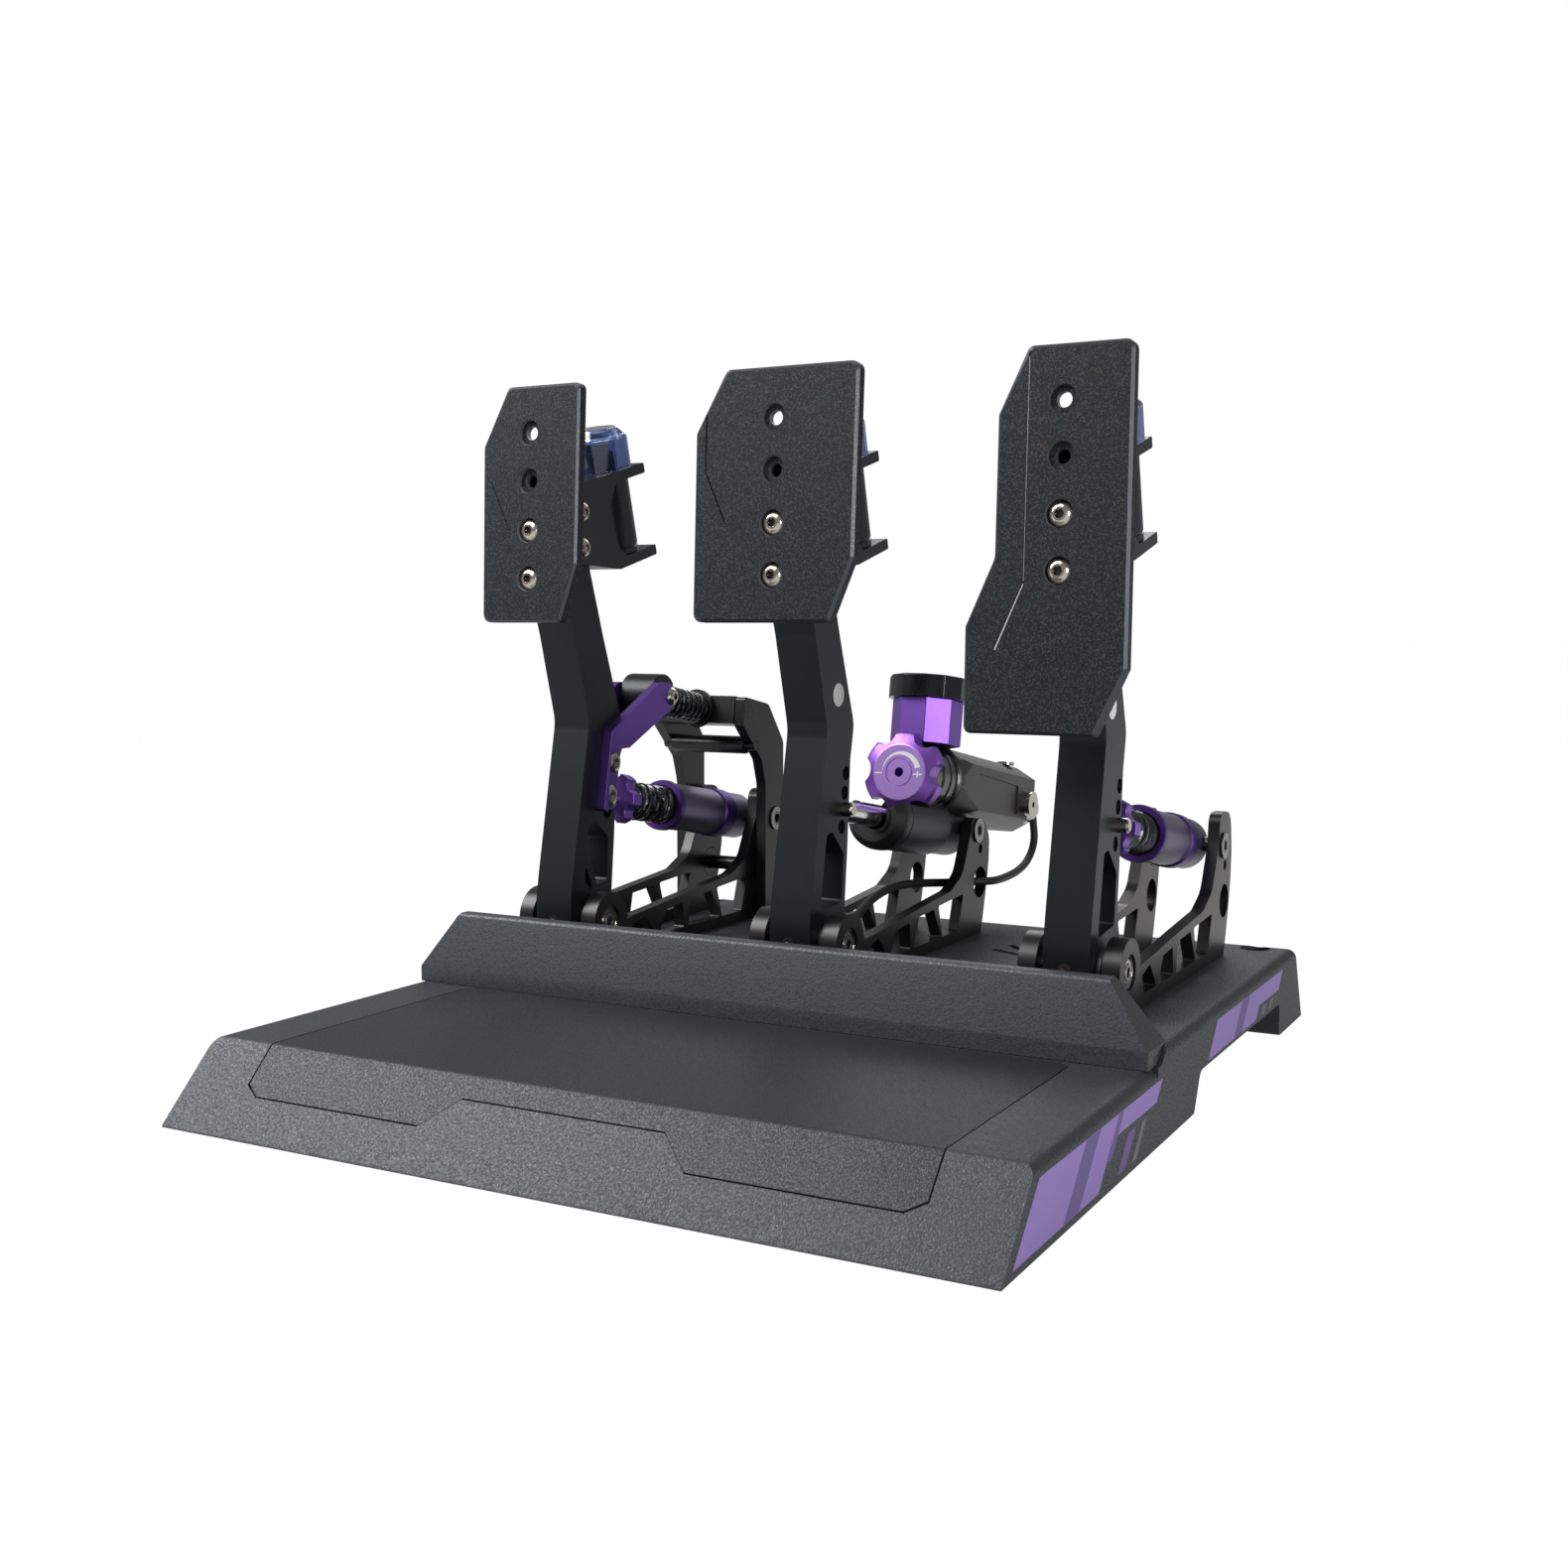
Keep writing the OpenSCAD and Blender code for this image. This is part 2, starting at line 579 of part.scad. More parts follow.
// Vibration module on the back of each arm head
motor_r = 13;
motor_v = 36;
cap_r = 16;
module cradle(x) {
    color("#1b1b1e") head_frame(x) difference() {
        slab(28, [
            [-12, -9, 2], [-16.5, -5, 3], [-16.5, 4, 3], [-12.5, 22, 3], [-4.8, 25, 1], [-4.8, 29.2, 0],
            [55, 29.2, 1], [55, 24, 1], [27, 24, 6], [19, 14, 10],
            [21, -8, 8], [28, -13.6, 3], [55, -13.6, 1], [55, -18.9, 1], [20, -18.9, 2]
        ]);
        // Seat for the motor and clearance for the arm head
        translate([0, motor_v, -13.6]) cylinder(r = motor_r + 0.02, h = 60);
        translate([-arm_w / 2 - 0.02, -20, -30]) cube([arm_w + 0.04, 21, 70]);
        for (p = cradle_screws, side = [-1, 1])
            translate([side * 14, p.x, p.y]) rotate([0, 0, side * 90]) rod_y(2.05, -1, 8);
    }
}
module motor(x) {
    color("#222226") head_frame(x) translate([0, motor_v, -13.6]) {
        difference() {
            cylinder(r = motor_r, h = 42.8);
            for (z = [3, 39])
                translate([0, 0, z]) rotate_extrude() translate([motor_r - 0.5, 0]) square([2, 1]);
        }
        cylinder(r = 8, h = 52);
        translate([-5, -3, 42]) cube([10, 6, 14]);
    }
}
module motor_cap(x) {
    color("#5b6d9c", 0.6) head_frame(x) translate([0, motor_v, 29.2]) difference() {
        union() {
            rotate([0, 0, 22.5]) rotate_extrude($fn = 8)
                polygon([[0, 0], [cap_r, 0], [cap_r, 16.4], [cap_r - 4.8, 21.2], [0, 21.2]]);
            translate([-4, -6, 20]) cylinder(r = 2.4, h = 4);
        }
        rotate([0, 0, 22.5]) translate([0, 0, -1]) cylinder(r = cap_r - 1.8, h = 16.6, $fn = 8);
        translate([0, 0, 15]) cylinder(r = 9.2, h = 4);
    }
}

// Parts of the clutch and throttle spring units, from the cross pin rearwards
nut_y = [-125.5, -117.5];
mouth_y = -78;
mouth_depth = 3;
module rod(x) {
    color("#b9bbc0") unit_frame(x) difference() {
        union() {
            translate([-5.3, -unit_len, 0]) rotate([0, 90, 0]) cylinder(r = 6.4, h = 10.6);
            rod_y(4, -unit_len, -58);
        }
        translate([-6, -unit_len, 0]) rotate([0, 90, 0]) cylinder(r = 3.05, h = 12);
    }
}
module preload_nut(x) {
    color("#6b3fa0") unit_frame(x) difference() {
        rod_y(nut_r, nut_y[0], nut_y[1]);
        rod_y(4.05, -200, 0);
        for (i = [0:5])
            rotate([0, i * 60 + 30, 0]) translate([nut_r + 1.2, 0, 0]) rod_y(4.3, -200, 0);
    }
}
// Helical tube along +y from y = 0 to y = length, with straight ends along y
function coil_path(r, length, turns, d) = let (
    lead = 2 * d,
    n = 8 * turns,
    z0 = lead,
    z1 = length - lead
) concat(
    [[r, 0, 0], [r, d, 0]],
    [for (i = [0:n]) [r * cos(360 * i / 8), z0 + (z1 - z0) * i / n, r * sin(360 * i / 8)]],
    [[r, length - d, 0], [r, length, 0]]
);
function coil_tangent(p, i) = i == 0 ? [0, 1, 0] : i == len(p) - 1 ? [0, 1, 0]
    : unit(p[i + 1] - p[i - 1]);
module tube(p, r, sides = 6) {
    pts = [for (i = [0:len(p) - 1]) let (
        t = coil_tangent(p, i),
        out = unit([p[i].x, 0, p[i].z]),
        u = unit(out - (out * t) * t),
        v = cross(t, u)
    ) for (k = [0:sides - 1]) p[i] + r * (cos(360 * k / sides) * u + sin(360 * k / sides) * v)];
    n = len(p);
    sides_of = [for (i = [0:n - 2], k = [0:sides - 1]) let (
        a = i * sides + k,
        b = i * sides + (k + 1) % sides
    ) each [[a, b + sides, b], [a, a + sides, b + sides]]];
    caps = [for (k = [1:sides - 2]) each [
        [0, k, k + 1], [(n - 1) * sides, (n - 1) * sides + k + 1, (n - 1) * sides + k]
    ]];
    polyhedron(points = pts, faces = concat(sides_of, caps), convexity = 10);
}
// Least gap between turns, measured on ring centres that lie a turn apart
function coil_gap(p, r) = min([for (i = [2:len(p) - 11], j = [i + 6:min(i + 10, len(p) - 3)])
    norm(p[i] - p[j]) - 2 * r]);
spring_len = mouth_y + mouth_depth - nut_y[1];
main_coil = coil_path(spring_r - wire_r, spring_len, spring_turns, 2 * wire_r);
module coil_spring(x) {
    color("#141416") unit_frame(x) translate([0, nut_y[1], 0]) tube(main_coil, wire_r);
}
module spring_cylinder(x) {
    color("#57427e") unit_frame(x) difference() {
        turned([
            [0, mouth_y], [cyl_r + 0.6, mouth_y], [cyl_r + 0.9, mouth_y + 1.2], [cyl_r + 0.9, mouth_y + 4.2],
            [cyl_r, mouth_y + 4.6], [cyl_r, -28.5], [cyl_r + 0.9, -27.6], [cyl_r + 0.9, -16.9],
            [cyl_r, -16], [cyl_r, 4], [cyl_r - 3, 8], [0, 8]
        ]);
        rod_y(spring_r + 0.6, mouth_y - 1, mouth_y + mouth_depth);
        rod_y(5.4, mouth_y, -32);
        translate([-20, 0, 0]) rotate([0, 90, 0]) cylinder(r = 4.05, h = 40);
    }
}

// Clutch linkage
module clutch_brackets() {
    color("#6b3fa0")
        for (side = [-1, 1])
            translate([clutch_x + side * (arm_w / 2 + bracket_t / 2), 0, 0]) difference() {
                slab(bracket_t, [
                    [227.2, 114.5, 2], [234.7, 155, 4], [280.7, 178.4, 4], [290.5, 177.8, 4],
                    [298.3, 173.2, 4], [292.7, 164.5, 3], [248.8, 144.7, 2], [246.3, 139.4, 2],
                    [245.2, 130, 0], [243.3, 115, 2]
                ]);
                bar_x(pin, 2.1, -5, 5);
                bar_x(side_holes[0], 2.1, -5, 5);
                bar_x(link_pin, 3, -5, 5);
                translate([side * (pocket_floor + 3 - arm_w / 2 - bracket_t / 2), 0, 0])
                    slab(6, [
                        [231, 108, 0], [233.7, 145.6, 2], [254, 145.6, 0], [254, 108, 0]
                    ]);
            }
}
module clutch_link() {
    color("#1d1d20") link_frame() difference() {
        union() {
            intersection() {
                translate([-10.2, 0, 0]) rotate([0, 90, 0]) cylinder(r = 12, h = 20.4);
                translate([-15, -20, -20]) cube([30, 29, 40]);
            }
            rod_y(3.5, 0, link_len + 12);
        }
        translate([-12, 0, 0]) rotate([0, 90, 0]) cylinder(r = 3.05, h = 24);
    }
}
link_wire = 1;
link_spring_len = link_len - 10 - 9;
link_coil = coil_path(8.7 - link_wire, link_spring_len, 8, 2 * link_wire);
module clutch_link_spring() {
    color("#141416") link_frame() translate([0, 9, 0]) tube(link_coil, link_wire);
}

// Brake unit
upper_z = 25.3;
module brake_rod() {
    color("#b9bbc0") unit_frame(0) difference() {
        union() {
            translate([-5.3, -unit_len, 0]) rotate([0, 90, 0]) cylinder(r = 6.4, h = 10.6);
            rod_y(5.2, -unit_len, -73);
        }
        translate([-6, -unit_len, 0]) rotate([0, 90, 0]) cylinder(r = 3.05, h = 12);
    }
}
module brake_cylinder() {
    r = brake_cyl_r;
    color("#1c1c1f") unit_frame(0) difference() {
        turned([
            [0, -86], [8, -86], [10, -87.5], [12.5, -87.5], [r, -84], [r + 0.6, -81], [r + 0.6, -76],
            [r, -75.4], [r - 0.6, -74.8], [r - 0.6, -73.8], [r, -73.2], [r, -24], [14.6, -20],
            [14.6, 6], [11, 10], [0, 10]
        ]);
        rod_y(6.4, -90, -63);
        // Relief in which the knob turns
        translate([0, 0, upper_z]) rod_y(knob_r + 0.4, -62, knob_back + 0.5);
        translate([-20, 0, 0]) rotate([0, 90, 0]) cylinder(r = 4.05, h = 40);
    }
}
// Section of the machined body, as [x, z] corners
body_corners = [
    [21, 11], [21, 35.2], [9, 42.1], [-9, 42.1], [-21, 35.2], [-21, 11], [-9, 4.1], [9, 4.1]
];
knob_back = -49.8;
module brake_body() {
    color("#242427") unit_frame(0) difference() {
        union() {
            translate([0, 0, upper_z]) turned([
                [0, -49], [17, -49], [17, -42], [17.8, -41], [17.8, -34], [18.4, -33],
                [18.4, -25], [20, -23.5], [20, -22], [0, -22]
            ]);
            // The corners of the section are turned down towards the collar
            intersection() {
                translate([0, body_end, 0]) rotate([90, 0, 0])
                    linear_extrude(body_end + 23.5) polygon(body_corners);
                translate([0, 0, upper_z]) turned([
                    [0, -24], [20.2, -24], [26, 5], [26, body_end - 3], [23, body_end + 0.1], [0, body_end + 0.1]
                ]);
            }
        }
        // Saddle over the lower cylinder
        rod_y(brake_cyl_r + 0.02, -60, -20);
        rod_y(14.62, -21, 10.02);
        // Recessed panels on both sides
        for (side = [-1, 1])
            translate([side * body_corners[0].x, 0, 0]) rotate([90, 0, 90])
                translate([0, 0, -0.9]) linear_extrude(1.8) polygon([
                    [-24, 22], [0, 31.1], [60, 29.4], [60.7, 13.2], [3, 14]
                ]);
        // Bore for the knob shaft and seat of the reservoir
        translate([0, 0, upper_z]) rod_y(5.05, -50, -34);
        translate([0, reservoir_y, reservoir_z]) cylinder(r = reservoir_r + 0.1, h = 10);
        // Seats of the rear boss and the pressure fitting
        translate(dome_at) sphere(r = dome_r + 0.02);
        translate([20.1, 74, 20]) rotate([0, 90, 0]) cylinder(r = 7.05, h = 9);
    }
}
reservoir_y = -30.2;
reservoir_z = 42.8;
cap_z = 67;
dome_at = [17, 82, 18];
dome_r = 8.8;
module brake_knob() {
    color("#7a48b8") unit_frame(0) translate([0, 0, upper_z]) difference() {
        union() {
            turned([
                [0, -61.2], [14.2, -61.2], [15.4, -60.6], [knob_r - 1.5, -58.6], [knob_r, -57],
                [knob_r, knob_back - 1.2], [knob_r - 1.2, knob_back], [0, knob_back]
            ]);
            rod_y(5, knob_back - 1, -36);
        }
        for (i = [0:5])
            rotate([0, 2 - i * 60, 0]) translate([23.7, 0, 0]) rod_y(6.7, -70, -40);
        rod_y(2.5, -70, -52);
        difference() {
            rod_y(7.6, -62, -60.6);
            rod_y(6.9, -63, -59);
        }
    }
}
module brake_reservoir() {
    color("#6b3fa0") unit_frame(0) translate([0, reservoir_y, 0]) difference() {
        translate([0, 0, reservoir_z]) rotate([0, 0, 20]) cylinder(r = reservoir_r, h = cap_z - reservoir_z, $fn = 8);
        translate([0, 0, reservoir_z + 4]) cylinder(r = 14.5, h = 30);
    }
}
module brake_reservoir_cap() {
    color("#161618") unit_frame(0) translate([0, reservoir_y, cap_z]) difference() {
        union() {
            rotate([0, 0, 15]) rotate_extrude($fn = 12)
                polygon([[0, 0], [21.8, 0], [21.8, 11.4], [21.2, 12], [0, 12]]);
            translate([0, 0, -5]) cylinder(r = 14.4, h = 6);
        }
        translate([0, 0, 11.5]) cylinder(r = 15.5, h = 2);
    }
}
// Pressure fitting on the right side of the body, and the bleed screw on top
module brake_fittings() {
    color("silver") difference() {
        fitting_bodies();
        // Hole that the cable goes up into
        translate([22, 466.9, 80]) cylinder(r = 2.9, h = cable_route[0].z - 80);
    }
}
module fitting_bodies() {
    unit_frame(0) {
        translate([20.12, 74, 20]) rotate([0, 90, 0]) difference() {
            union() {
                cylinder(r = 7, h = 3.3);
                translate([0, 0, 3.2]) cylinder(r = 7.7, h = 2.4);
            }
            translate([0, 0, 3.4]) cylinder(r = 2, h = 6, $fn = 6);
        }
        translate(dome_at) sphere(r = dome_r);
        translate([9, 68, body_top]) difference() {
            cylinder(r = 5, h = 1.6);
            translate([0, 0, 0.8]) cylinder(r = 2.2, h = 2, $fn = 6);
        }
    }
}

// Sensor cable from the fitting to the gland on the deck
cable_r = 2.2;
cable_route = [
    [22, 466.6, 98], [22, 468, 92], [22.6, 468, 84], [23, 463, 77], [23.6, 452, 71.5],
    [25, 436, 69], [26.6, 418, 68.4], [27.2, 401, 68.4], [25.2, 391.5, 68.5], [19, 385.6, 68.6],
    [13.5, 380, 68.8], [8.5, 368, 69.4], [4.5, 352, 71], [1, 333, 72.5], [0, 312, 72.5],
    [0, 294, 70], [0, 278, 65], [0, 267, 59],
    [0, 262.6, 53.5], [0, 262, 49.2]
];
function catmull(a, b, c, d, t) = 0.5 * (2 * b + (c - a) * t + (2 * a - 5 * b + 4 * c - d) * t * t
    + (3 * b - a - 3 * c + d) * t * t * t);
cable_path = [for (i = [0:len(cable_route) - 2]) let (
    a = cable_route[max(i - 1, 0)],
    b = cable_route[i],
    c = cable_route[i + 1],
    d = cable_route[min(i + 2, len(cable_route) - 1)]
) each i == len(cable_route) - 2 ? [b, c] : [b, catmull(a, b, c, d, 0.5)]];
module cable_tube(p, r, sides = 8) {
    n = len(p);
    pts = [for (i = [0:n - 1]) let (
        t = i == 0 ? [0, 0, -1] : i == n - 1 ? [0, 0, -1] : unit(p[i + 1] - p[i - 1]),
        u = unit(cross(t, [1, 0.25, 0])),
        v = cross(t, u)
    ) for (k = [0:sides - 1]) p[i] + r * (cos(360 * k / sides) * u + sin(360 * k / sides) * v)];
    sides_of = [for (i = [0:n - 2], k = [0:sides - 1]) let (
        a = i * sides + k,
        b = i * sides + (k + 1) % sides
    ) each [[a, b + sides, b], [a, a + sides, b + sides]]];
    caps = [for (k = [1:sides - 2]) each [
        [0, k, k + 1], [(n - 1) * sides, (n - 1) * sides + k + 1, (n - 1) * sides + k]
    ]];
    polyhedron(points = pts, faces = concat(sides_of, caps), convexity = 10);
}
module sensor_cable() {
    color("#101012") cable_tube(cable_path, cable_r);
}

echo("least gap of a main spring to itself", coil_gap(main_coil, wire_r));
echo("least gap of the link spring to itself", coil_gap(link_coil, link_wire));

// The origin is on the floor under the middle of the whole object
module place() {
    translate([0, -overall_d / 2, 0]) children();
}

place() base_shell();
place() heel_plate();
place() ridge_cover();
place() rubber_feet();
place() mounting_plate();
place() plate_screws();
place() control_box();
place() cable_gland();
place() pivot_bearings();
place() rear_bolts();
place() side_plate(clutch_x - plate_x, tall_top);  // clutch_plate_left
place() side_plate(clutch_x + plate_x, tall_top);  // clutch_plate_right
place() side_plate(-plate_x, low_top);  // brake_plate_left
place() side_plate(plate_x, low_top);  // brake_plate_right
place() side_plate(throttle_x - plate_x, tall_top);  // throttle_plate_left
place() side_plate(throttle_x + plate_x, tall_top);  // throttle_plate_right
place() clutch_frame(clutch_x - frame_out + frame_t / 2);  // clutch_frame_left
place() clutch_frame(clutch_x + frame_out - frame_t / 2);  // clutch_frame_right
place() clutch_cross_bars();
place() clutch_bar_block();
place() arm(clutch_x, clutch_window);  // clutch_arm
place() arm(0, plain_window);  // brake_arm
place() arm(throttle_x, plain_window);  // throttle_arm
place() axle(clutch_x);  // clutch_axle
place() axle(0);  // brake_axle
place() axle(throttle_x);  // throttle_axle
place() pedal_face(clutch_x, clutch_outline, [[-22.2, 71.3], [-11, 47.4]]);  // clutch_face
place() pedal_face(0, brake_outline, [[-34.5, 97], [-34.5, 71], [-24, 48]]);  // brake_face
place() pedal_face(throttle_x, throttle_outline, [[-14.6, 114], [-14.6, 19.5], [-26.7, -8.8]]);  // throttle_face
place() clutch_fasteners();
place() {  // brake_fasteners
    arm_fasteners(0);
    cross_pin(0);
}
place() {  // throttle_fasteners
    arm_fasteners(throttle_x);
    cross_pin(throttle_x);
}
place() cradle(clutch_x);  // clutch_cradle
place() cradle(0);  // brake_cradle
place() cradle(throttle_x);  // throttle_cradle
place() motor(clutch_x);  // clutch_motor
place() motor(0);  // brake_motor
place() motor(throttle_x);  // throttle_motor
place() motor_cap(clutch_x);  // clutch_motor_cap
place() motor_cap(0);  // brake_motor_cap
place() motor_cap(throttle_x);  // throttle_motor_cap
place() rod(clutch_x);  // clutch_rod
place() rod(throttle_x);  // throttle_rod
place() preload_nut(clutch_x);  // clutch_nut
place() preload_nut(throttle_x);  // throttle_nut
place() coil_spring(clutch_x);  // clutch_spring
place() coil_spring(throttle_x);  // throttle_spring
place() spring_cylinder(clutch_x);  // clutch_cylinder
place() spring_cylinder(throttle_x);  // throttle_cylinder
place() clutch_brackets();
place() clutch_link();
place() clutch_link_spring();
place() brake_rod();
place() brake_cylinder();
place() brake_body();
place() brake_knob();
place() brake_reservoir();
place() brake_reservoir_cap();
place() brake_fittings();
place() sensor_cable();
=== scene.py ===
import json
import math

import bmesh
import bpy
from mathutils import Matrix, Vector


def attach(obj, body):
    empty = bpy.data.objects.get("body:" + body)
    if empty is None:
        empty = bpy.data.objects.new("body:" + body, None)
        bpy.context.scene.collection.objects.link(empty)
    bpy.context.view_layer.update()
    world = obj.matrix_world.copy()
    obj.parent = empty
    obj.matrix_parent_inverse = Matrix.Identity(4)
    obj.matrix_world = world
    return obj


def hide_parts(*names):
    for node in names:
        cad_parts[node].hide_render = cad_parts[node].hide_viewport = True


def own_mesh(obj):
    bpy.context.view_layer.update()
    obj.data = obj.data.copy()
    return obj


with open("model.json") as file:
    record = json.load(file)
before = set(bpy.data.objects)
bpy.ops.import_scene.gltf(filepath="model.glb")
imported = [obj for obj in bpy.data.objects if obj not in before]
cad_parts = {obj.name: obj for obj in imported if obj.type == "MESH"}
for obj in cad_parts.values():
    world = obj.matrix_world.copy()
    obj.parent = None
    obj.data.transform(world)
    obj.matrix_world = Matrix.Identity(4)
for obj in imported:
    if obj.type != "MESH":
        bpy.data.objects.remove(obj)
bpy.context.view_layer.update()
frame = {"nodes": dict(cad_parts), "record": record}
nodes = frame["nodes"]
scene = bpy.context.scene
originY = 236.893  # from the front edge of the base to the origin, in mm
print("frame loaded:", len(nodes), "nodes")


def place(x, y, z):
    # millimetres from the front edge of the base to metres in the frame
    return Vector((x / 1000, (y - originY) / 1000, z / 1000))


# pins and bolts of a pedal, as depth and height from the front edge, in mm
pinYZ = (238.6, 121.5)
boltYZ = (381.0, 97.5)
linkPinYZ = (291.8, 170.6)
blockPinYZ = (351.0, 160.4)
unitTilt = math.atan2(pinYZ[1] - boltYZ[1], boltYZ[0] - pinYZ[0])
linkTilt = math.atan2(linkPinYZ[1] - blockPinYZ[1], blockPinYZ[0] - linkPinYZ[0])
laneX = {"clutch": -134.0, "brake": 0.0, "throttle": 134.0}
# where a face's foot lies and how far it leans back
faceSet = dict(foot=(184.4, 206.6), lean=math.radians(2.5))
knobSet = dict(
    # where the knob's front and axis lie on the brake unit
    front=-61.2, axis=25.3, discRadius=14.9, discDepth=0.8,
    # the printed arc grows from a thin start to a wide end
    inner=9.2, thinOuter=9.4, wideOuter=12.2, startAngle=176, endAngle=14, steps=40,
    # the printed strokes: middle, length, turn
    bars=[(-11.8, 4.4, 0), (10.6, 4.9, 0), (10.6, 3.6, 90)], barWidth=0.75, barDrop=0.8,
    proud=0.06, printDepth=0.1,
)


def unitPoint(x, along, out, lane="brake"):
    # a point of a spring or brake unit: across, along its axis, above it
    c, s = math.cos(unitTilt), math.sin(unitTilt)
    return place(laneX[lane] + x, boltYZ[0] + along * c + out * s, boltYZ[1] - along * s + out * c)


def unitMatrix(lane, along=0.0, out=0.0):
    return Matrix.Translation(unitPoint(0, along, out, lane)) @ Matrix.Rotation(-unitTilt, 4, "X")


def facePoint(lane, across, into, up):
    # a point of a pedal's face: across it, into it from the front, up from its foot
    c, s = math.cos(faceSet["lean"]), math.sin(faceSet["lean"])
    y, z = faceSet["foot"]
    return place(laneX[lane] + across, y + into * c + up * s, z - into * s + up * c)


# camera
cameraSet = dict(lens=39.55, sensor=36, near=0.01,
                 place=(373.03, -491.15, 207.24), turn=(84.828, -0.112, 28.403))
cameraData = bpy.data.cameras.new("photoCamera")
cameraData.lens = cameraSet["lens"]
cameraData.sensor_width = cameraSet["sensor"]
cameraData.clip_start = cameraSet["near"]
camera = bpy.data.objects.new("photoCamera", cameraData)
camera.location = place(*cameraSet["place"])
camera.rotation_euler = [math.radians(a) for a in cameraSet["turn"]]
scene.collection.objects.link(camera)
scene.camera = camera
scene.view_settings.view_transform = "Standard"


# mesh helpers
def newPiece(name, mesh, body, material):
    # a visible object that rides on a body
    piece = bpy.data.objects.new(name, mesh)
    scene.collection.objects.link(piece)
    piece.data.materials.clear()
    piece.data.materials.append(material)
    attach(piece, body)
    return piece


def finishMesh(name, bm, smoothAngle=32):
    # faces turned outwards and smooth, apart from edges sharper than the angle
    bmesh.ops.recalc_face_normals(bm, faces=bm.faces)
    for face in bm.faces:
        face.smooth = True
    mesh = bpy.data.meshes.new(name)
    bm.to_mesh(mesh)
    bm.free()
    mesh.set_sharp_from_angle(angle=math.radians(smoothAngle))
    return mesh


def thickened(bm, faces, by):
    # the faces are drawn out along a vector into a slab
    grown = bmesh.ops.extrude_face_region(bm, geom=faces)
    moved = [g for g in grown["geom"] if isinstance(g, bmesh.types.BMVert)]
    bmesh.ops.translate(bm, verts=moved, vec=by)


# cable's route, as the source has it
cableSet = dict(
    radius=2.2, sides=14, steps=3,
    points=[
        (22, 466.6, 98), (22, 468, 92), (22.6, 468, 84), (23, 463, 77), (23.6, 452, 71.5),
        (25, 436, 69), (26.6, 418, 68.4), (27.2, 401, 68.4), (25.2, 391.5, 68.5), (19, 385.6, 68.6),
        (13.5, 380, 68.8), (8.5, 368, 69.4), (4.5, 352, 71), (1, 333, 72.5), (0, 312, 72.5),
        (0, 294, 70), (0, 278, 65), (0, 267, 59), (0, 262.6, 53.5), (0, 262, 49.2),
    ],
)


def smoothPath(points, steps):
    # the same rounding as the source's cable, with more points
    pts = [Vector(p) for p in points]
    out = []
    for i in range(len(pts) - 1):
        a, b = pts[max(i - 1, 0)], pts[i]
        c, d = pts[i + 1], pts[min(i + 2, len(pts) - 1)]
        for k in range(steps):
            t = k / steps
            square, cube = 2 * a - 5 * b + 4 * c - d, 3 * b - a - 3 * c + d
            out.append(0.5 * (2 * b + (c - a) * t + square * t * t + cube * t ** 3))
    return out + [pts[-1]]


def sweepTube(name, path, radius, sides):
    # a ring of edges is extruded from point to point along the path
    bm = bmesh.new()
    ring = bmesh.ops.create_circle(bm, segments=sides, radius=radius, cap_ends=True)["verts"]
    start = (path[1] - path[0]).normalized()
    turn = start.to_track_quat("Z", "Y")
    for v in ring:
        v.co = turn @ v.co + path[0]
    front = list(bm.faces)[0]
    previous = start
    for i in range(1, len(path)):
        ahead = (path[min(i + 1, len(path) - 1)] - path[i - 1]).normalized()
        grown = bmesh.ops.extrude_face_region(bm, geom=[front], use_keep_orig=(i == 1))
        front = [g for g in grown["geom"] if isinstance(g, bmesh.types.BMFace)][0]
        spin = previous.rotation_difference(ahead)
        for v in front.verts:
            v.co = spin @ (v.co - path[i - 1]) + path[i]
        previous = ahead
    return finishMesh(name, bm)


cablePath = [place(*p) for p in smoothPath(cableSet["points"], cableSet["steps"])]


# shader helpers
class Val:
    # wraps a socket, so that an expression on values adds its Math nodes
    def __init__(self, tree, socket):
        self.tree = tree
        self.socket = socket

    def joined(self, operation, values, clamp=False):
        node = self.tree.nodes.new("ShaderNodeMath")
        node.operation = operation
        node.use_clamp = clamp
        for i, v in enumerate(values):
            if isinstance(v, Val):
                self.tree.links.new(v.socket, node.inputs[i])
            else:
                node.inputs[i].default_value = v
        return Val(self.tree, node.outputs[0])

    def __add__(self, other):
        return self.joined("ADD", (self, other))

    def __sub__(self, other):
        return self.joined("SUBTRACT", (self, other))

    def __rsub__(self, other):
        return self.joined("SUBTRACT", (other, self))

    def __mul__(self, other):
        return self.joined("MULTIPLY", (self, other))

    def __gt__(self, other):
        return self.joined("GREATER_THAN", (self, other))

    def __lt__(self, other):
        return self.joined("LESS_THAN", (self, other))

    def clamped(self):
        return self.joined("ADD", (self, 0.0), clamp=True)

    def magnitude(self):
        return self.joined("ABSOLUTE", (self,))

    def root(self):
        return self.joined("SQRT", (self,))

    def smaller(self, other):
        return self.joined("MINIMUM", (self, other))


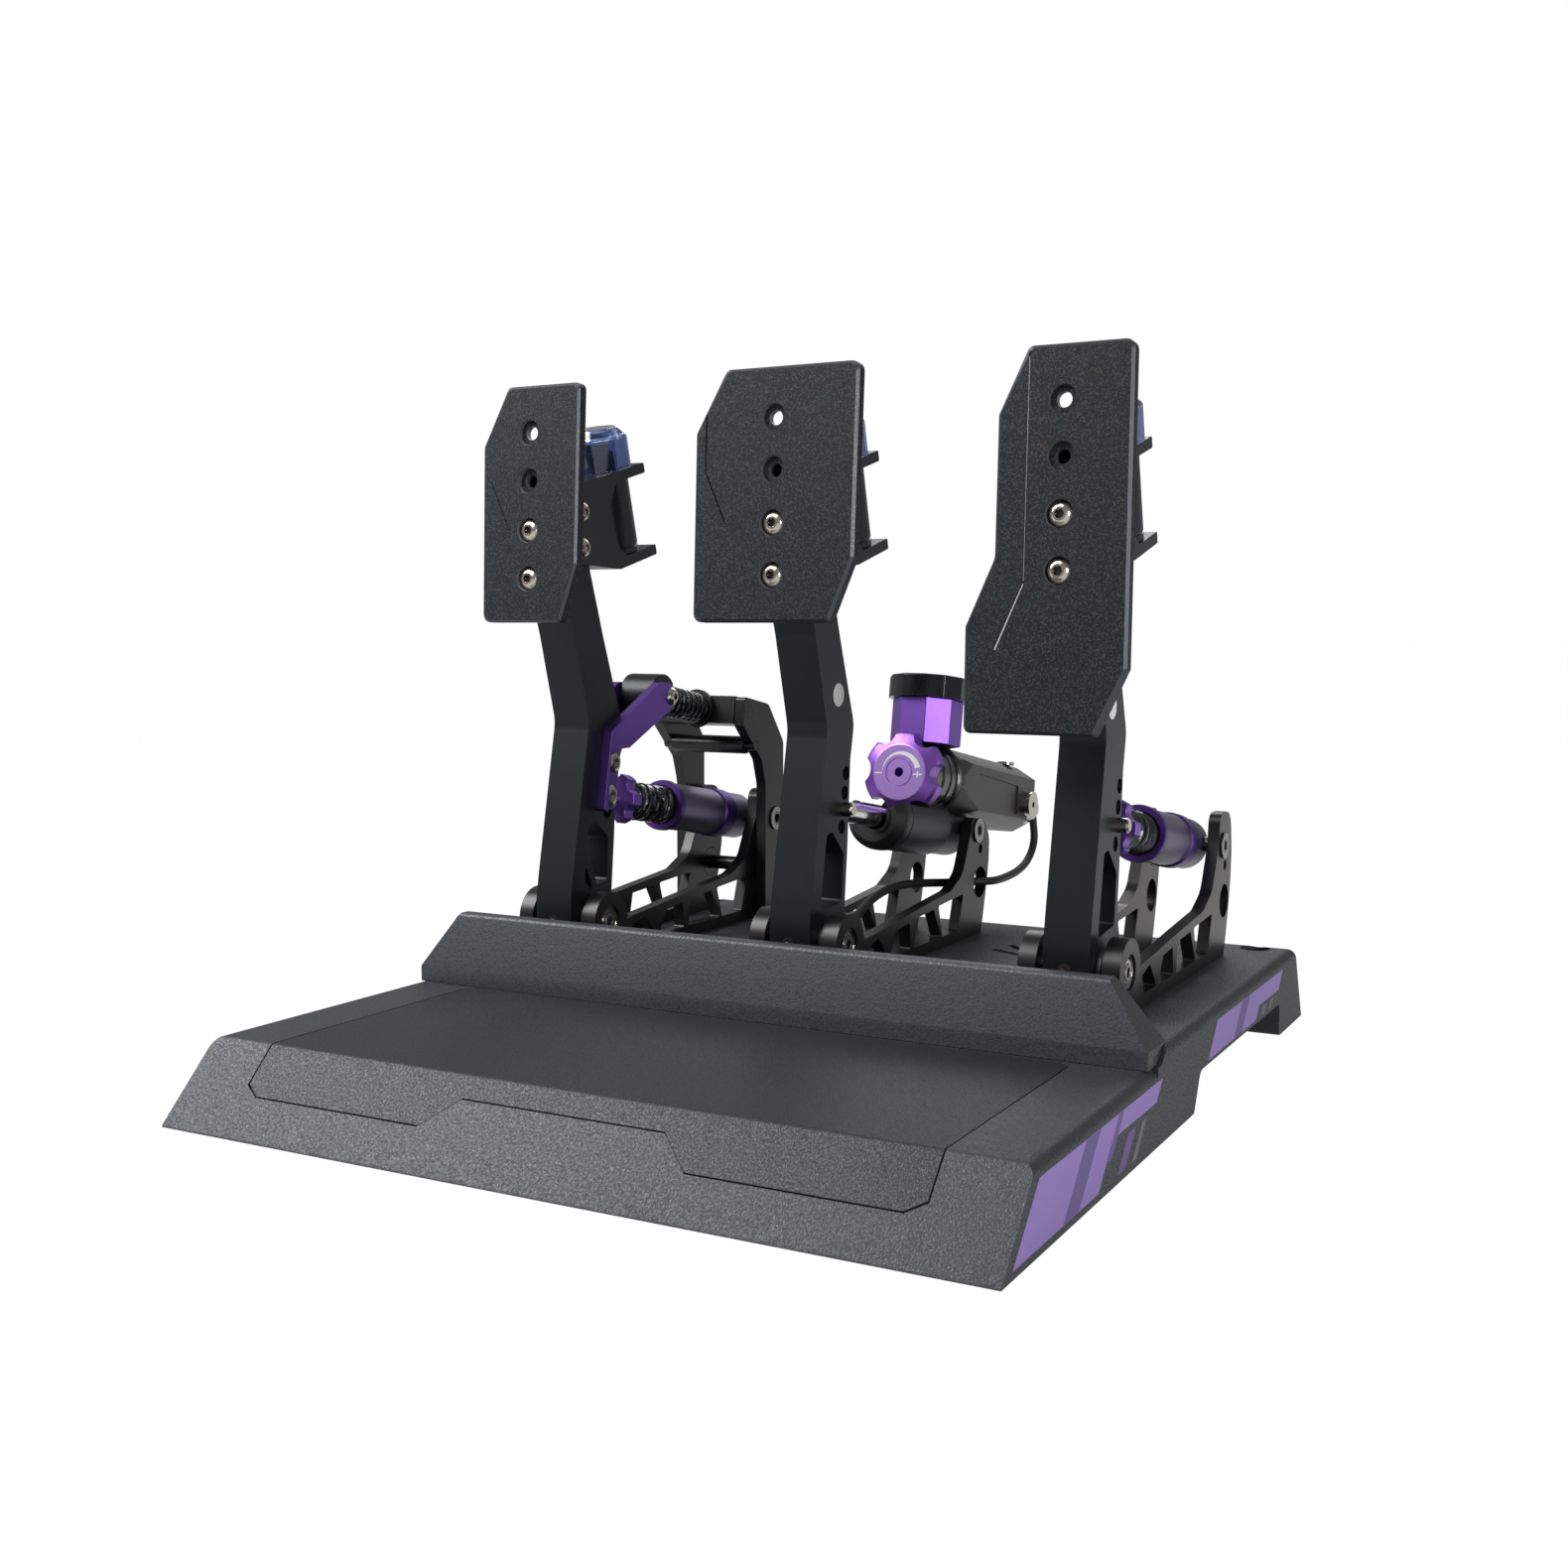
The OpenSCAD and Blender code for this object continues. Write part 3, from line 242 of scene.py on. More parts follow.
class Finish:
    # one material and its tree
    def __init__(self, name):
        self.material = bpy.data.materials.new(name)
        self.material.use_nodes = True
        self.tree = self.material.node_tree
        self.shader = self.tree.nodes["Principled BSDF"]
        self.output = self.tree.nodes["Material Output"]

    def add(self, kind, inputs=None, output=0):
        node = self.tree.nodes.new("ShaderNode" + kind)
        for key, value in (inputs or {}).items():
            if isinstance(value, Val):
                self.tree.links.new(value.socket, node.inputs[key])
            else:
                node.inputs[key].default_value = value
        return Val(self.tree, node.outputs[output])

    def coords(self):
        return self.add("TexCoord", output="Object")

    def noise(self, at, scale, detail, roughness=0.5):
        return self.add("TexNoise", {"Vector": at, "Scale": scale, "Detail": detail,
                                     "Roughness": roughness})

    def cells(self, at, scale, output="Distance"):
        return self.add("TexVoronoi", {"Vector": at, "Scale": scale}, output)

    def axis(self, vector, name):
        node = self.tree.nodes.new("ShaderNodeSeparateXYZ")
        self.tree.links.new(vector.socket, node.inputs[0])
        return Val(self.tree, node.outputs[name])

    def mix(self, mask, low, high):
        node = self.tree.nodes.new("ShaderNodeMix")
        node.data_type = "RGBA"
        for key, value in (("Factor", mask), ("A", low), ("B", high)):
            socket = node.inputs[key]
            if isinstance(value, Val):
                self.tree.links.new(value.socket, socket)
            elif isinstance(value, tuple):
                socket.default_value = value + (1.0,) * (4 - len(value))
            else:
                socket.default_value = value
        return Val(self.tree, node.outputs["Result"])

    def set(self, **values):
        for key, value in values.items():
            socket = self.shader.inputs[key.replace("_", " ")]
            if isinstance(value, Val):
                self.tree.links.new(value.socket, socket)
            elif isinstance(value, tuple) and len(value) == 3 and socket.type == "RGBA":
                socket.default_value = value + (1.0,)
            else:
                socket.default_value = value

    def bump(self, height, strength, distance):
        settings = {"Strength": strength, "Distance": distance, "Height": height}
        self.set(Normal=self.add("Bump", settings))


# tints of the reflections on black parts
coolSheen = (0.91, 0.965, 1.0)
warmSheen = (1.0, 0.97, 0.95)


def shades(colour, up, down):
    # a lighter and a darker tone of a colour
    return tuple(min(1.0, c * up) for c in colour), tuple(c * down for c in colour)


def mouldedPlastic(name, colour, roughness, grain, depth, lift=1.25, specular=0.5):
    # injection-moulded grain: fine cells with a soft drift of tone
    f = Finish(name)
    at = f.coords()
    cells = f.cells(at, grain)
    fine = f.noise(at, grain * 0.8, 3.0, 0.6)
    drift = f.noise(at, 14.0, 2.0)
    tone = (fine * 0.55 + drift * 0.45).clamped()
    light, dark = shades(colour, lift, 2 - lift)
    f.set(Base_Color=f.mix(tone, dark, light), Roughness=(fine + (roughness - 0.5)).clamped(),
          Specular_IOR_Level=specular, Specular_Tint=coolSheen)
    f.bump(cells * 0.6 + fine * 0.4, 0.8, depth)
    return f.material


def anodised(name, colour, roughness, metallic=0.85, grain=1500.0, depth=0.00003, coat=0.0,
             specular=0.5, tint=coolSheen):
    # bead-blasted and dyed aluminium: a fine even sparkle
    f = Finish(name)
    at = f.coords()
    fine = f.noise(at, grain, 2.0, 0.7)
    drift = f.noise(at, 22.0, 2.0)
    light, dark = shades(colour, 1.22, 0.8)
    f.set(Base_Color=f.mix((fine * 0.7 + drift * 0.3).clamped(), dark, light), Metallic=metallic,
          Roughness=(fine * 0.2 + (roughness - 0.1)).clamped(),
          Coat_Weight=coat, Coat_Roughness=0.1, Specular_IOR_Level=specular, Specular_Tint=tint)
    f.bump(fine, 0.35, depth)
    return f.material


def turnedSteel(name, colour, roughness):
    # bright steel with faint turning lines
    f = Finish(name)
    at = f.coords()
    fine = f.noise(at, 900.0, 4.0)
    f.set(Base_Color=f.mix(fine, tuple(c * 0.85 for c in colour), colour), Metallic=1.0,
          Roughness=(fine * 0.16 + (roughness - 0.08)).clamped())
    f.bump(fine, 0.15, 0.00002)
    return f.material


def fromLane(f, at):
    # how far a point lies to the side of the nearest pedal's middle
    side = f.axis(at, "X").magnitude()
    return side.smaller((side - laneX["throttle"] / 1000).magnitude())


def tilted(f, at, centre, angle):
    # how far a point lies along and above a line that dips by an angle from its centre
    c, s = math.cos(angle), math.sin(angle)
    y, z = f.axis(at, "Y") - centre.y, f.axis(at, "Z") - centre.z
    return y * c - z * s, y * s + z * c


def between(value, low, high):
    return (value > low) * (value < high)


# sizes in mm and facings of the finishes, painted glints, painted highlights and painted shade that
# change over a part
lookSet = dict(
    socketHeights=(24.3, 47.5), socketRadius=2.0,
    sparkShare=0.18, sparkLevel=0.45,
    rimFacing=(-0.86, -0.45), grooveFacing=-0.9, grooveDepth=(0.25, 0.85),
    wallFacing=(-0.45, 0.45), holeRadius=6.3,
    neckEnd=-24.3, neckFoot=-21.0,
    mouthEnd=-73.6, waist=(-28.8, -15.6),
    boltRings=((4.4, 4.9), (5.8, 6.3)),
)


def screwSteel(name):
    # warm bright steel, with painted shade inside the hex sockets of the face screws
    f = Finish(name)
    at = f.coords()
    fine = f.noise(at, 900.0, 4.0)
    _, up = tilted(f, at, place(0, *faceSet["foot"]), faceSet["lean"])
    across = fromLane(f, at)
    above = [up - height / 1000 for height in lookSet["socketHeights"]]
    reach = (lookSet["socketRadius"] / 1000) ** 2
    # painted shade: the hex sockets are coloured near black where their recess falls dark
    socketShades = [(across * across + rise * rise) < reach for rise in above]
    socket = (socketShades[0] + socketShades[1]).clamped()
    steel = f.mix(fine, (0.44, 0.41, 0.36), (0.56, 0.52, 0.46))
    f.set(Base_Color=f.mix(socket, steel, (0.05, 0.045, 0.04)), Metallic=1.0,
          Roughness=(fine * 0.16 + 0.10 + socket * 0.2).clamped())
    return f.material


def sparkleBlack(name):
    # textured black anodising of the pedal faces, with a thin scatter of grains painted bright as
    # glints
    f = Finish(name)
    at = f.coords()
    pick = f.axis(f.cells(at, 1900.0, "Color"), "X")
    fine = f.noise(at, 1100.0, 3.0, 0.65)
    share, level = lookSet["sparkShare"], lookSet["sparkLevel"]
    # painted glints: picked grains are coloured bright, warm or blue
    paintedGlint = (pick > 1 - share) * (fine > level)
    paintedBlueGlint = (pick < share) * (fine > level)
    base = f.mix(fine.clamped(), (0.003, 0.0035, 0.004), (0.016, 0.017, 0.019))
    base = f.mix(paintedGlint * 0.4, base, (0.10, 0.075, 0.065))
    base = f.mix(paintedBlueGlint * 0.4, base, (0.035, 0.07, 0.09))
    # the slanted rims are cut after the grain, and are smooth and satin; their lighter colour is a
    # painted highlight
    facing = f.axis(f.add("TexCoord", output="Normal"), "Y")
    rim = between(facing, *lookSet["rimFacing"])
    base = f.mix(rim, base, (0.060, 0.064, 0.070))
    # the floor of the engraved line is painted dark: painted shade in the groove
    into, _ = tilted(f, at, place(0, *faceSet["foot"]), faceSet["lean"])
    low, high = lookSet["grooveDepth"]
    grooveShade = between(into, low / 1000, high / 1000) * (facing < lookSet["grooveFacing"])
    base = f.mix(grooveShade, base, (0.003, 0.003, 0.003))
    # the walls of the stepped holes are more metallic, and their bright colour is a painted highlight
    inHole = fromLane(f, at) < lookSet["holeRadius"] / 1000
    wallHighlight = between(facing, *lookSet["wallFacing"]) * inHole
    base = f.mix(wallHighlight, base, (0.22, 0.22, 0.23))
    f.set(Base_Color=base, Metallic=(rim * 0.45 + wallHighlight * 0.5 + grooveShade * 0.5 + 0.3).clamped(),
          Roughness=(0.54 - paintedGlint * 0.1 - rim * 0.12).clamped(),
          Specular_IOR_Level=0.22, Specular_Tint=coolSheen)
    f.bump(fine * (1.0 - rim), 0.7, 0.00010)
    return f.material


def blueCap(name):
    # clear blue plastic with a faint haze
    f = Finish(name)
    at = f.coords()
    haze = f.noise(at, 60.0, 3.0)
    f.set(Base_Color=f.mix(haze, (0.13, 0.18, 0.36), (0.22, 0.29, 0.50)),
          Roughness=(haze * 0.04 + 0.01).clamped(), Transmission_Weight=0.95, IOR=1.40,
          Coat_Weight=0.5, Coat_Roughness=0.04)
    return f.material


def rubberBlack(name, grain=700.0):
    # dull black rubber, also the cable's jacket
    f = Finish(name)
    at = f.coords()
    fine = f.noise(at, grain, 3.0)
    f.set(Base_Color=f.mix(fine, (0.008, 0.008, 0.009), (0.022, 0.022, 0.024)),
          Roughness=(fine * 0.2 + 0.45).clamped())
    f.bump(fine, 0.3, 0.00006)
    return f.material


def knobPurple(name):
    # the flat disc in the middle of the knob is cut brighter than its lobed rim
    f = Finish(name)
    at = f.coords()
    fine = f.noise(at, 1500.0, 2.0, 0.7)
    centre = unitPoint(0, knobSet["front"], knobSet["axis"])
    along, out = tilted(f, at, centre, unitTilt)
    across = f.axis(at, "X") - centre.x
    reach = (knobSet["discRadius"] / 1000) ** 2
    disc = ((across * across + out * out) < reach) * (along < knobSet["discDepth"] / 1000)
    base = f.mix(fine, (0.21, 0.08, 0.45), (0.32, 0.14, 0.61))
    f.set(Base_Color=f.mix(disc, base, (0.52, 0.31, 0.82)), Metallic=0.8,
          Roughness=(fine * 0.2 + 0.24).clamped())
    f.bump(fine, 0.35, 0.00003)
    return f.material


def brakeMetal(name):
    # satin grey body whose turned neck is polished black
    f = Finish(name)
    at = f.coords()
    fine = f.noise(at, 1500.0, 2.0, 0.7)
    along, out = tilted(f, at, unitPoint(0, 0, knobSet["axis"]), unitTilt)
    neck = (along < lookSet["neckEnd"] / 1000) * (out > lookSet["neckFoot"] / 1000)
    body = f.mix(fine, (0.046, 0.043, 0.043), (0.074, 0.070, 0.069))
    f.set(Base_Color=f.mix(neck, body, (0.004, 0.004, 0.005)), Metallic=0.7 - neck * 0.7,
          Roughness=(fine * 0.2 + 0.30 - neck * 0.14).clamped(),
          Coat_Weight=neck * 0.3, Coat_Roughness=0.06)
    f.bump(fine * (1.0 - neck), 0.35, 0.00003)
    return f.material


def bandedPurple(name):
    # spring cylinder: greyish purple tube with darker purple bands at its mouth and waist
    f = Finish(name)
    at = f.coords()
    fine = f.noise(at, 1400.0, 2.0, 0.7)
    along, _ = tilted(f, at, place(0, *boltYZ), unitTilt)
    waistStart, waistEnd = lookSet["waist"]
    mouth = along < lookSet["mouthEnd"] / 1000
    bands = (mouth + between(along, waistStart / 1000, waistEnd / 1000)).clamped()
    base = f.mix(bands, (0.115, 0.098, 0.170), (0.065, 0.028, 0.180))
    base = f.mix(fine * 0.5, base, f.mix(bands, (0.175, 0.152, 0.240), (0.105, 0.048, 0.260)))
    f.set(Base_Color=base, Metallic=0.8, Roughness=(fine * 0.16 + 0.30).clamped())
    f.bump(fine, 0.3, 0.00003)
    return f.material


def ringedBolt(name):
    # dark steel heads with bright turned rings around the bolt's axis
    f = Finish(name)
    at = f.coords()
    fine = f.noise(at, 900.0, 3.0)
    centre = place(0, *boltYZ)
    y, z = f.axis(at, "Y") - centre.y, f.axis(at, "Z") - centre.z
    reach = (y * y + z * z).root()
    rings = [between(reach, low / 1000, high / 1000) for low, high in lookSet["boltRings"]]
    head = f.mix(fine, (0.10, 0.10, 0.105), (0.15, 0.15, 0.155))
    f.set(Base_Color=f.mix((rings[0] + rings[1]).clamped(), head, (0.5, 0.5, 0.5)),
          Metallic=0.9, Roughness=(fine * 0.16 + 0.26).clamped())
    return f.material


finishes = {
    "basePlastic": mouldedPlastic("basePlastic", (0.020, 0.023, 0.028), 0.54, 1250.0, 0.00022,
                                  1.35, 0.36),
    "ridgePlastic": mouldedPlastic("ridgePlastic", (0.024, 0.027, 0.032), 0.50, 1100.0, 0.00018,
                                   1.35, 0.42),
    "heelSheet": mouldedPlastic("heelSheet", (0.009, 0.010, 0.013), 0.54, 1500.0, 0.00016, 1.3, 0.34),
    "rubber": rubberBlack("rubber"),
    "cable": rubberBlack("cable", 1500.0),
    "blackPlastic": mouldedPlastic("blackPlastic", (0.016, 0.016, 0.018), 0.48, 1800.0, 0.00005),
    "cradleBlack": anodised("cradleBlack", (0.013, 0.013, 0.014), 0.42, 0.4),
    "armBlack": anodised("armBlack", (0.007, 0.008, 0.009), 0.38, 0.4, specular=0.38),
    "plateBlack": anodised("plateBlack", (0.014, 0.014, 0.015), 0.33, 0.5, tint=warmSheen),
    "faceBlack": sparkleBlack("faceBlack"),
    "motorBlack": anodised("motorBlack", (0.020, 0.020, 0.024), 0.30, 0.4),
    "blueCap": blueCap("blueCap"),
    "chrome": turnedSteel("chrome", (0.72, 0.73, 0.75), 0.12),
    "steel": turnedSteel("steel", (0.52, 0.49, 0.44), 0.17),
    "screwSteel": screwSteel("screwSteel"),
    "axleGrey": turnedSteel("axleGrey", (0.30, 0.30, 0.31), 0.32),
    "steelPlate": turnedSteel("steelPlate", (0.30, 0.31, 0.32), 0.42),
    "bracketPurple": anodised("bracketPurple", (0.150, 0.068, 0.340), 0.36, 0.9),
    "ringedBolt": ringedBolt("ringedBolt"),
    "glintAluminium": turnedSteel("glintAluminium", (0.80, 0.80, 0.81), 0.35),
    "purple": anodised("purple", (0.20, 0.09, 0.44), 0.40, 0.9),
    "bandedPurple": bandedPurple("bandedPurple"),
    "springBlack": anodised("springBlack", (0.010, 0.010, 0.011), 0.22, 0.3, 900.0, 0.00001, 0.6),
    "knobPurple": knobPurple("knobPurple"),
    "brakeMetal": brakeMetal("brakeMetal"),
    "brakeGrey": anodised("brakeGrey", (0.040, 0.039, 0.040), 0.40, 0.7),
    "capBlack": anodised("capBlack", (0.004, 0.004, 0.005), 0.26, 0.2, 900.0, 0.00001, 0.25),
}
print("finishes made:", len(finishes))

# which finish and which edge softening, in mm, each node gets
dressing = {
    "base_shell": ("basePlastic", 0.9), "ridge_cover": ("ridgePlastic", 1.3),
    "heel_plate": ("heelSheet", 0.35), "rubber_feet": ("rubber", 0.5),
    "mounting_plate": ("steelPlate", 0.3), "plate_screws": ("steel", 0.2),
    "control_box": ("blackPlastic", 0.5), "cable_gland": ("blackPlastic", 0.4),
    "pivot_bearings": ("steel", 0.15), "rear_bolts": ("ringedBolt", 0.3),
    "clutch_frame_left": ("plateBlack", 0.8), "clutch_frame_right": ("plateBlack", 0.8),
    "clutch_cross_bars": ("plateBlack", 0.5), "clutch_bar_block": ("plateBlack", 0.5),
    "clutch_brackets": ("bracketPurple", 0.7), "clutch_link": ("armBlack", 0.6),
    "brake_rod": ("chrome", 0.4), "brake_cylinder": ("brakeGrey", 0.3),
    "brake_body": ("brakeMetal", 0.45), "brake_knob": ("knobPurple", 0.5),
    "brake_reservoir": ("purple", 0.5),
    "brake_reservoir_cap": ("capBlack", 0.6), "brake_fittings": ("steel", 0.3),
}
for lane in laneX:
    dressing[lane + "_plate_left"] = dressing[lane + "_plate_right"] = ("plateBlack", 0.5)
    dressing[lane + "_arm"] = ("armBlack", 0.7)
    dressing[lane + "_axle"] = ("axleGrey", 0.3)
    dressing[lane + "_face"] = ("faceBlack", 0.4)
    dressing[lane + "_fasteners"] = ("screwSteel", 0.2)
    dressing[lane + "_cradle"] = ("cradleBlack", 0.6)
    dressing[lane + "_motor"] = ("motorBlack", 0.4)
    dressing[lane + "_motor_cap"] = ("blueCap", 0.7)
for lane in ("clutch", "throttle"):
    dressing[lane + "_rod"] = ("chrome", 0.3)
    dressing[lane + "_nut"] = ("purple", 0.5)
    dressing[lane + "_cylinder"] = ("bandedPurple", 0.3)

record = frame["record"]
bodyOf = {node: body for body, members in record["behaviour"]["bodies"].items() for node in members}
# how the dressed nodes' edges are found and rounded; lengths in m
softSet = dict(weld=0.000002, flat=math.radians(0.6), sharp=math.radians(30), segments=2, weight=60)


def cutAway(mesh, cutter):
    # what is left of a mesh once the cutter's solid is taken out of it
    cutterObject = bpy.data.objects.new("cutter", finishMesh("cutter", cutter))
    blank = bpy.data.objects.new("blank", mesh)
    for part in (cutterObject, blank):
        scene.collection.objects.link(part)
    cut = blank.modifiers.new("cut", "BOOLEAN")
    cut.operation = "DIFFERENCE"
    cut.solver = "EXACT"
    cut.object = cutterObject
    bpy.context.view_layer.update()
    evaluated = blank.evaluated_get(bpy.context.evaluated_depsgraph_get())
    left = bpy.data.meshes.new_from_object(evaluated)
    for part in (cutterObject, blank):
        bpy.data.objects.remove(part)
    return left


def merged(mesh):
    # a working copy whose doubled corners are joined
    bm = bmesh.new()
    bm.from_mesh(mesh)
    bmesh.ops.remove_doubles(bm, verts=bm.verts, dist=softSet["weld"])
    return bm


# the cap of the lower cylinder is hollowed around the knob
scoopSet = dict(radius=22.2, start=-95.0, length=40.0)


def knobScoop():
    bm = bmesh.new()
    radius, length = scoopSet["radius"] / 1000, scoopSet["length"] / 1000
    bmesh.ops.create_cone(bm, cap_ends=True, segments=96, radius1=radius, radius2=radius, depth=length)
    middle = scoopSet["start"] + scoopSet["length"] / 2
    turn = unitMatrix("brake", middle, knobSet["axis"]) @ Matrix.Rotation(math.pi / 2, 4, "X")
    bmesh.ops.transform(bm, verts=bm.verts, matrix=turn)
    return bm


# the throttle face steps in above its foot: across and up on the face. The corners on the
# face come first, and lie further in at the front, so that the cut leaves a chamfer
stepSet = dict(front=-0.5, back=1.6, chamfer=1.3,
               onFace=[(-27.82, 88.8), (-27.82, 31.7), (-27.98, 30.1), (-28.48, 28.5), (-39.9, 2.1)],
               beside=[(-48, 2.1), (-48, 88.8)])


def faceStep():
    # three rings: past the front, where the chamfer ends, and behind it
    bm = bmesh.new()
    rings = []
    front, chamfer, back = stepSet["front"], stepSet["chamfer"], stepSet["back"]
    for into, shift in ((front, chamfer - front), (chamfer, 0), (back, 0)):
        outline = [(x + shift, z) for x, z in stepSet["onFace"]] + stepSet["beside"]
        corners = [bm.verts.new(facePoint("throttle", x, into, z)) for x, z in outline]
        rings.append([bm.edges.new((a, b)) for a, b in zip(corners, corners[1:] + corners[:1])])
    for near, far in zip(rings, rings[1:]):
        bmesh.ops.bridge_loops(bm, edges=near + far)
    for ring in (rings[0], rings[-1]):
        bmesh.ops.contextual_create(bm, geom=ring)
    return bm


cutters = {"brake_cylinder": knobScoop, "throttle_face": faceStep}


def softened(nodeName, finish, width):
    # a merged copy of the node, with its sharp edges bevelled, stands for the node
    bm = merged(nodes[nodeName].data)
    if nodeName in cutters:
        whole = bpy.data.meshes.new("whole")
        bm.to_mesh(whole)
        bm.free()
        bm = merged(cutAway(whole, cutters[nodeName]()))
    bmesh.ops.dissolve_limit(bm, angle_limit=softSet["flat"], verts=bm.verts, edges=bm.edges)
    weight = bm.edges.layers.float.new("bevel_weight_edge")
    for edge in bm.edges:
        if len(edge.link_faces) == 2 and abs(edge.calc_face_angle(0.0)) > softSet["sharp"]:
            edge[weight] = 1.0
    for face in bm.faces:
        face.smooth = True
    mesh = bpy.data.meshes.new(nodeName + "Soft")
    bm.to_mesh(mesh)
    bm.free()
    piece = newPiece(nodeName + "Soft", mesh, bodyOf[nodeName], finishes[finish])
    bevel = piece.modifiers.new("edgeSoftening", "BEVEL")
    bevel.width = width / 1000
    bevel.segments = softSet["segments"]
    bevel.limit_method = "WEIGHT"
    bevel.use_clamp_overlap = True
    bevel.harden_normals = False
    shade = piece.modifiers.new("evenShading", "WEIGHTED_NORMAL")
    shade.weight = softSet["weight"]
    shade.keep_sharp = True
    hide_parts(nodeName)


for nodeName, (finish, width) in dressing.items():
    softened(nodeName, finish, width)
print("nodes dressed:", len(dressing))


# cable and springs
cableRadius = cableSet["radius"] / 1000
cable = newPiece("sensorCable", sweepTube("sensorCable", cablePath, cableRadius, cableSet["sides"]),
                 "base", finishes["cable"])
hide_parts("sensor_cable")

springFoot = -117.5  # of the clutch and throttle springs, along their unit
linkSpringFoot = 9.0  # of the link's spring, from the link's pin
wireSides = 10
linkTurn = Matrix.Rotation(-linkTilt, 4, "X") @ Matrix.Translation((0, linkSpringFoot / 1000, 0))
# at rest each spring has its length, and at the end of its pedal's travel its shortest
springSet = {
    "clutch_spring": dict(
        matrix=unitMatrix("clutch", springFoot), joint="clutch_pedal_pivot",
        outer=10.4, wire=1.45, turns=6, length=42.5, shortest=28.0),
    "throttle_spring": dict(
        matrix=unitMatrix("throttle", springFoot), joint="throttle_pedal_pivot",
        outer=10.4, wire=1.45, turns=6, length=42.5, shortest=26.9),
    "clutch_link_spring": dict(
        matrix=Matrix.Translation(place(laneX["clutch"], *linkPinYZ)) @ linkTurn,
        joint="clutch_pedal_pivot", outer=8.7, wire=1.0, turns=8, length=41.1, shortest=17.6),
}


def coilPath(spec, stepsPerTurn=28, flatTurns=0.75, easing=0.02):
    # a wire that lies flat at both ends and climbs evenly between them
    r = spec["outer"] - spec["wire"]
    length, wire, turns = spec["length"], spec["wire"], spec["turns"]
    total = turns + 2 * flatTurns
    count = int(total * stepsPerTurn)
    points = []
    for i in range(count + 1):
        turn = total * i / count
        climb = min(max((turn - flatTurns) / turns, 0.0), 1.0)
        soft = climb - math.sin(2 * math.pi * climb) * easing
        y = wire + (length - 2 * wire) * soft
        angle = 2 * math.pi * turn
        points.append(Vector((r * math.cos(angle), y, r * math.sin(angle))) / 1000)
    return points


for name, spec in springSet.items():
    path = [spec["matrix"] @ p for p in coilPath(spec)]
    wound = sweepTube(name + "Coil", path, spec["wire"] / 1000, wireSides)
    coil = newPiece(name + "Coil", wound, bodyOf[name], finishes["springBlack"])
    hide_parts(name)
    axis = spec["matrix"].to_3x3() @ Vector((0, 1, 0))
    anchor = spec["matrix"] @ Vector((0, spec["length"] / 1000, 0))
    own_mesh(coil)
print("springs wound")


# printed panels
def printedFilm(name, colour, grain=1500.0):
    # print that lies on the moulded grain
    f = Finish(name)
    at = f.coords()
    cells = f.cells(at, grain)
    fine = f.noise(at, grain * 0.7, 3.0)
    drift = f.noise(at, 9.0, 2.0)
    light, dark = shades(colour, 1.2, 0.82)
    f.set(Base_Color=f.mix((fine * 0.5 + drift * 0.5).clamped(), dark, light),
          Roughness=(fine * 0.15 + 0.42).clamped())
    f.bump(cells * 0.6 + fine * 0.4, 0.45, 0.00008)
    return f.material


panelSet = dict(
    baseSide=185, gap=0.01, thickness=0.05,
    # outlines on the base's sides as depth and height, from the front edge
    front=[(9.5, 4.0), (33.5, 28.0), (176.0, 28.0), (168.0, 20.0), (112.0, 20.0), (96.0, 4.0)],
    rear=[(247.0, 19.5), (262.0, 34.5), (392.0, 34.5), (383.0, 25.5), (341.0, 25.5), (335.0, 19.5)],
    tones=[
        [(58, 4.2), (81.8, 27.8), (97.8, 27.8), (74, 4.2)],
        [(104.5, 12.8), (119.5, 27.8), (125.5, 27.8), (110.5, 12.8)],
        [(293, 19.7), (307.6, 34.3), (321.6, 34.3), (307, 19.7)],
    ],
    bars=[
        [(118, 4.5), (131, 17.5), (141, 17.5), (128, 4.5)],
        [(136, 4.5), (149, 17.5), (155, 17.5), (142, 4.5)],
        [(345, 19.5), (349.5, 24), (357.5, 24), (353, 19.5)],
        [(362, 19.5), (366.5, 24), (371.5, 24), (367, 19.5)],
    ],
)
panelFinish = {
    "lavender": printedFilm("printLavender", (0.235, 0.150, 0.440)),
    "plum": printedFilm("printPlum", (0.090, 0.046, 0.215)),
    "grey": printedFilm("printGrey", (0.100, 0.096, 0.115)),
}


def sidePanel(name, outline, tone, level):
    # a thin printed film on both sides of the base, level 1 on top of level 0
    bm = bmesh.new()
    thickness = panelSet["thickness"]
    for side in (-1, 1):
        x = side * (panelSet["baseSide"] + panelSet["gap"] + level * thickness)
        face = bm.faces.new([bm.verts.new(place(x, y, z)) for y, z in outline])
        thickened(bm, [face], (side * thickness / 1000, 0, 0))
    newPiece(name, finishMesh(name, bm), "base", panelFinish[tone])


sidePanel("sidePanelFront", panelSet["front"], "lavender", 0)
sidePanel("sidePanelRear", panelSet["rear"], "lavender", 0)
for i, outline in enumerate(panelSet["tones"]):
    sidePanel("sideTone%d" % i, outline, "plum", 1)
for i, outline in enumerate(panelSet["bars"]):
    sidePanel("sideBar%d" % i, outline, "plum" if i % 2 == 0 else "grey", 0)

# marks on the knob and stickers on the arms
whitePrint = mouldedPlastic("whitePrint", (0.86, 0.86, 0.88), 0.5, 1800.0, 0.00001, 1.05)
stickerFilm = mouldedPlastic("stickerFilm", (0.80, 0.80, 0.80), 0.4, 900.0, 0.00001, 1.05)


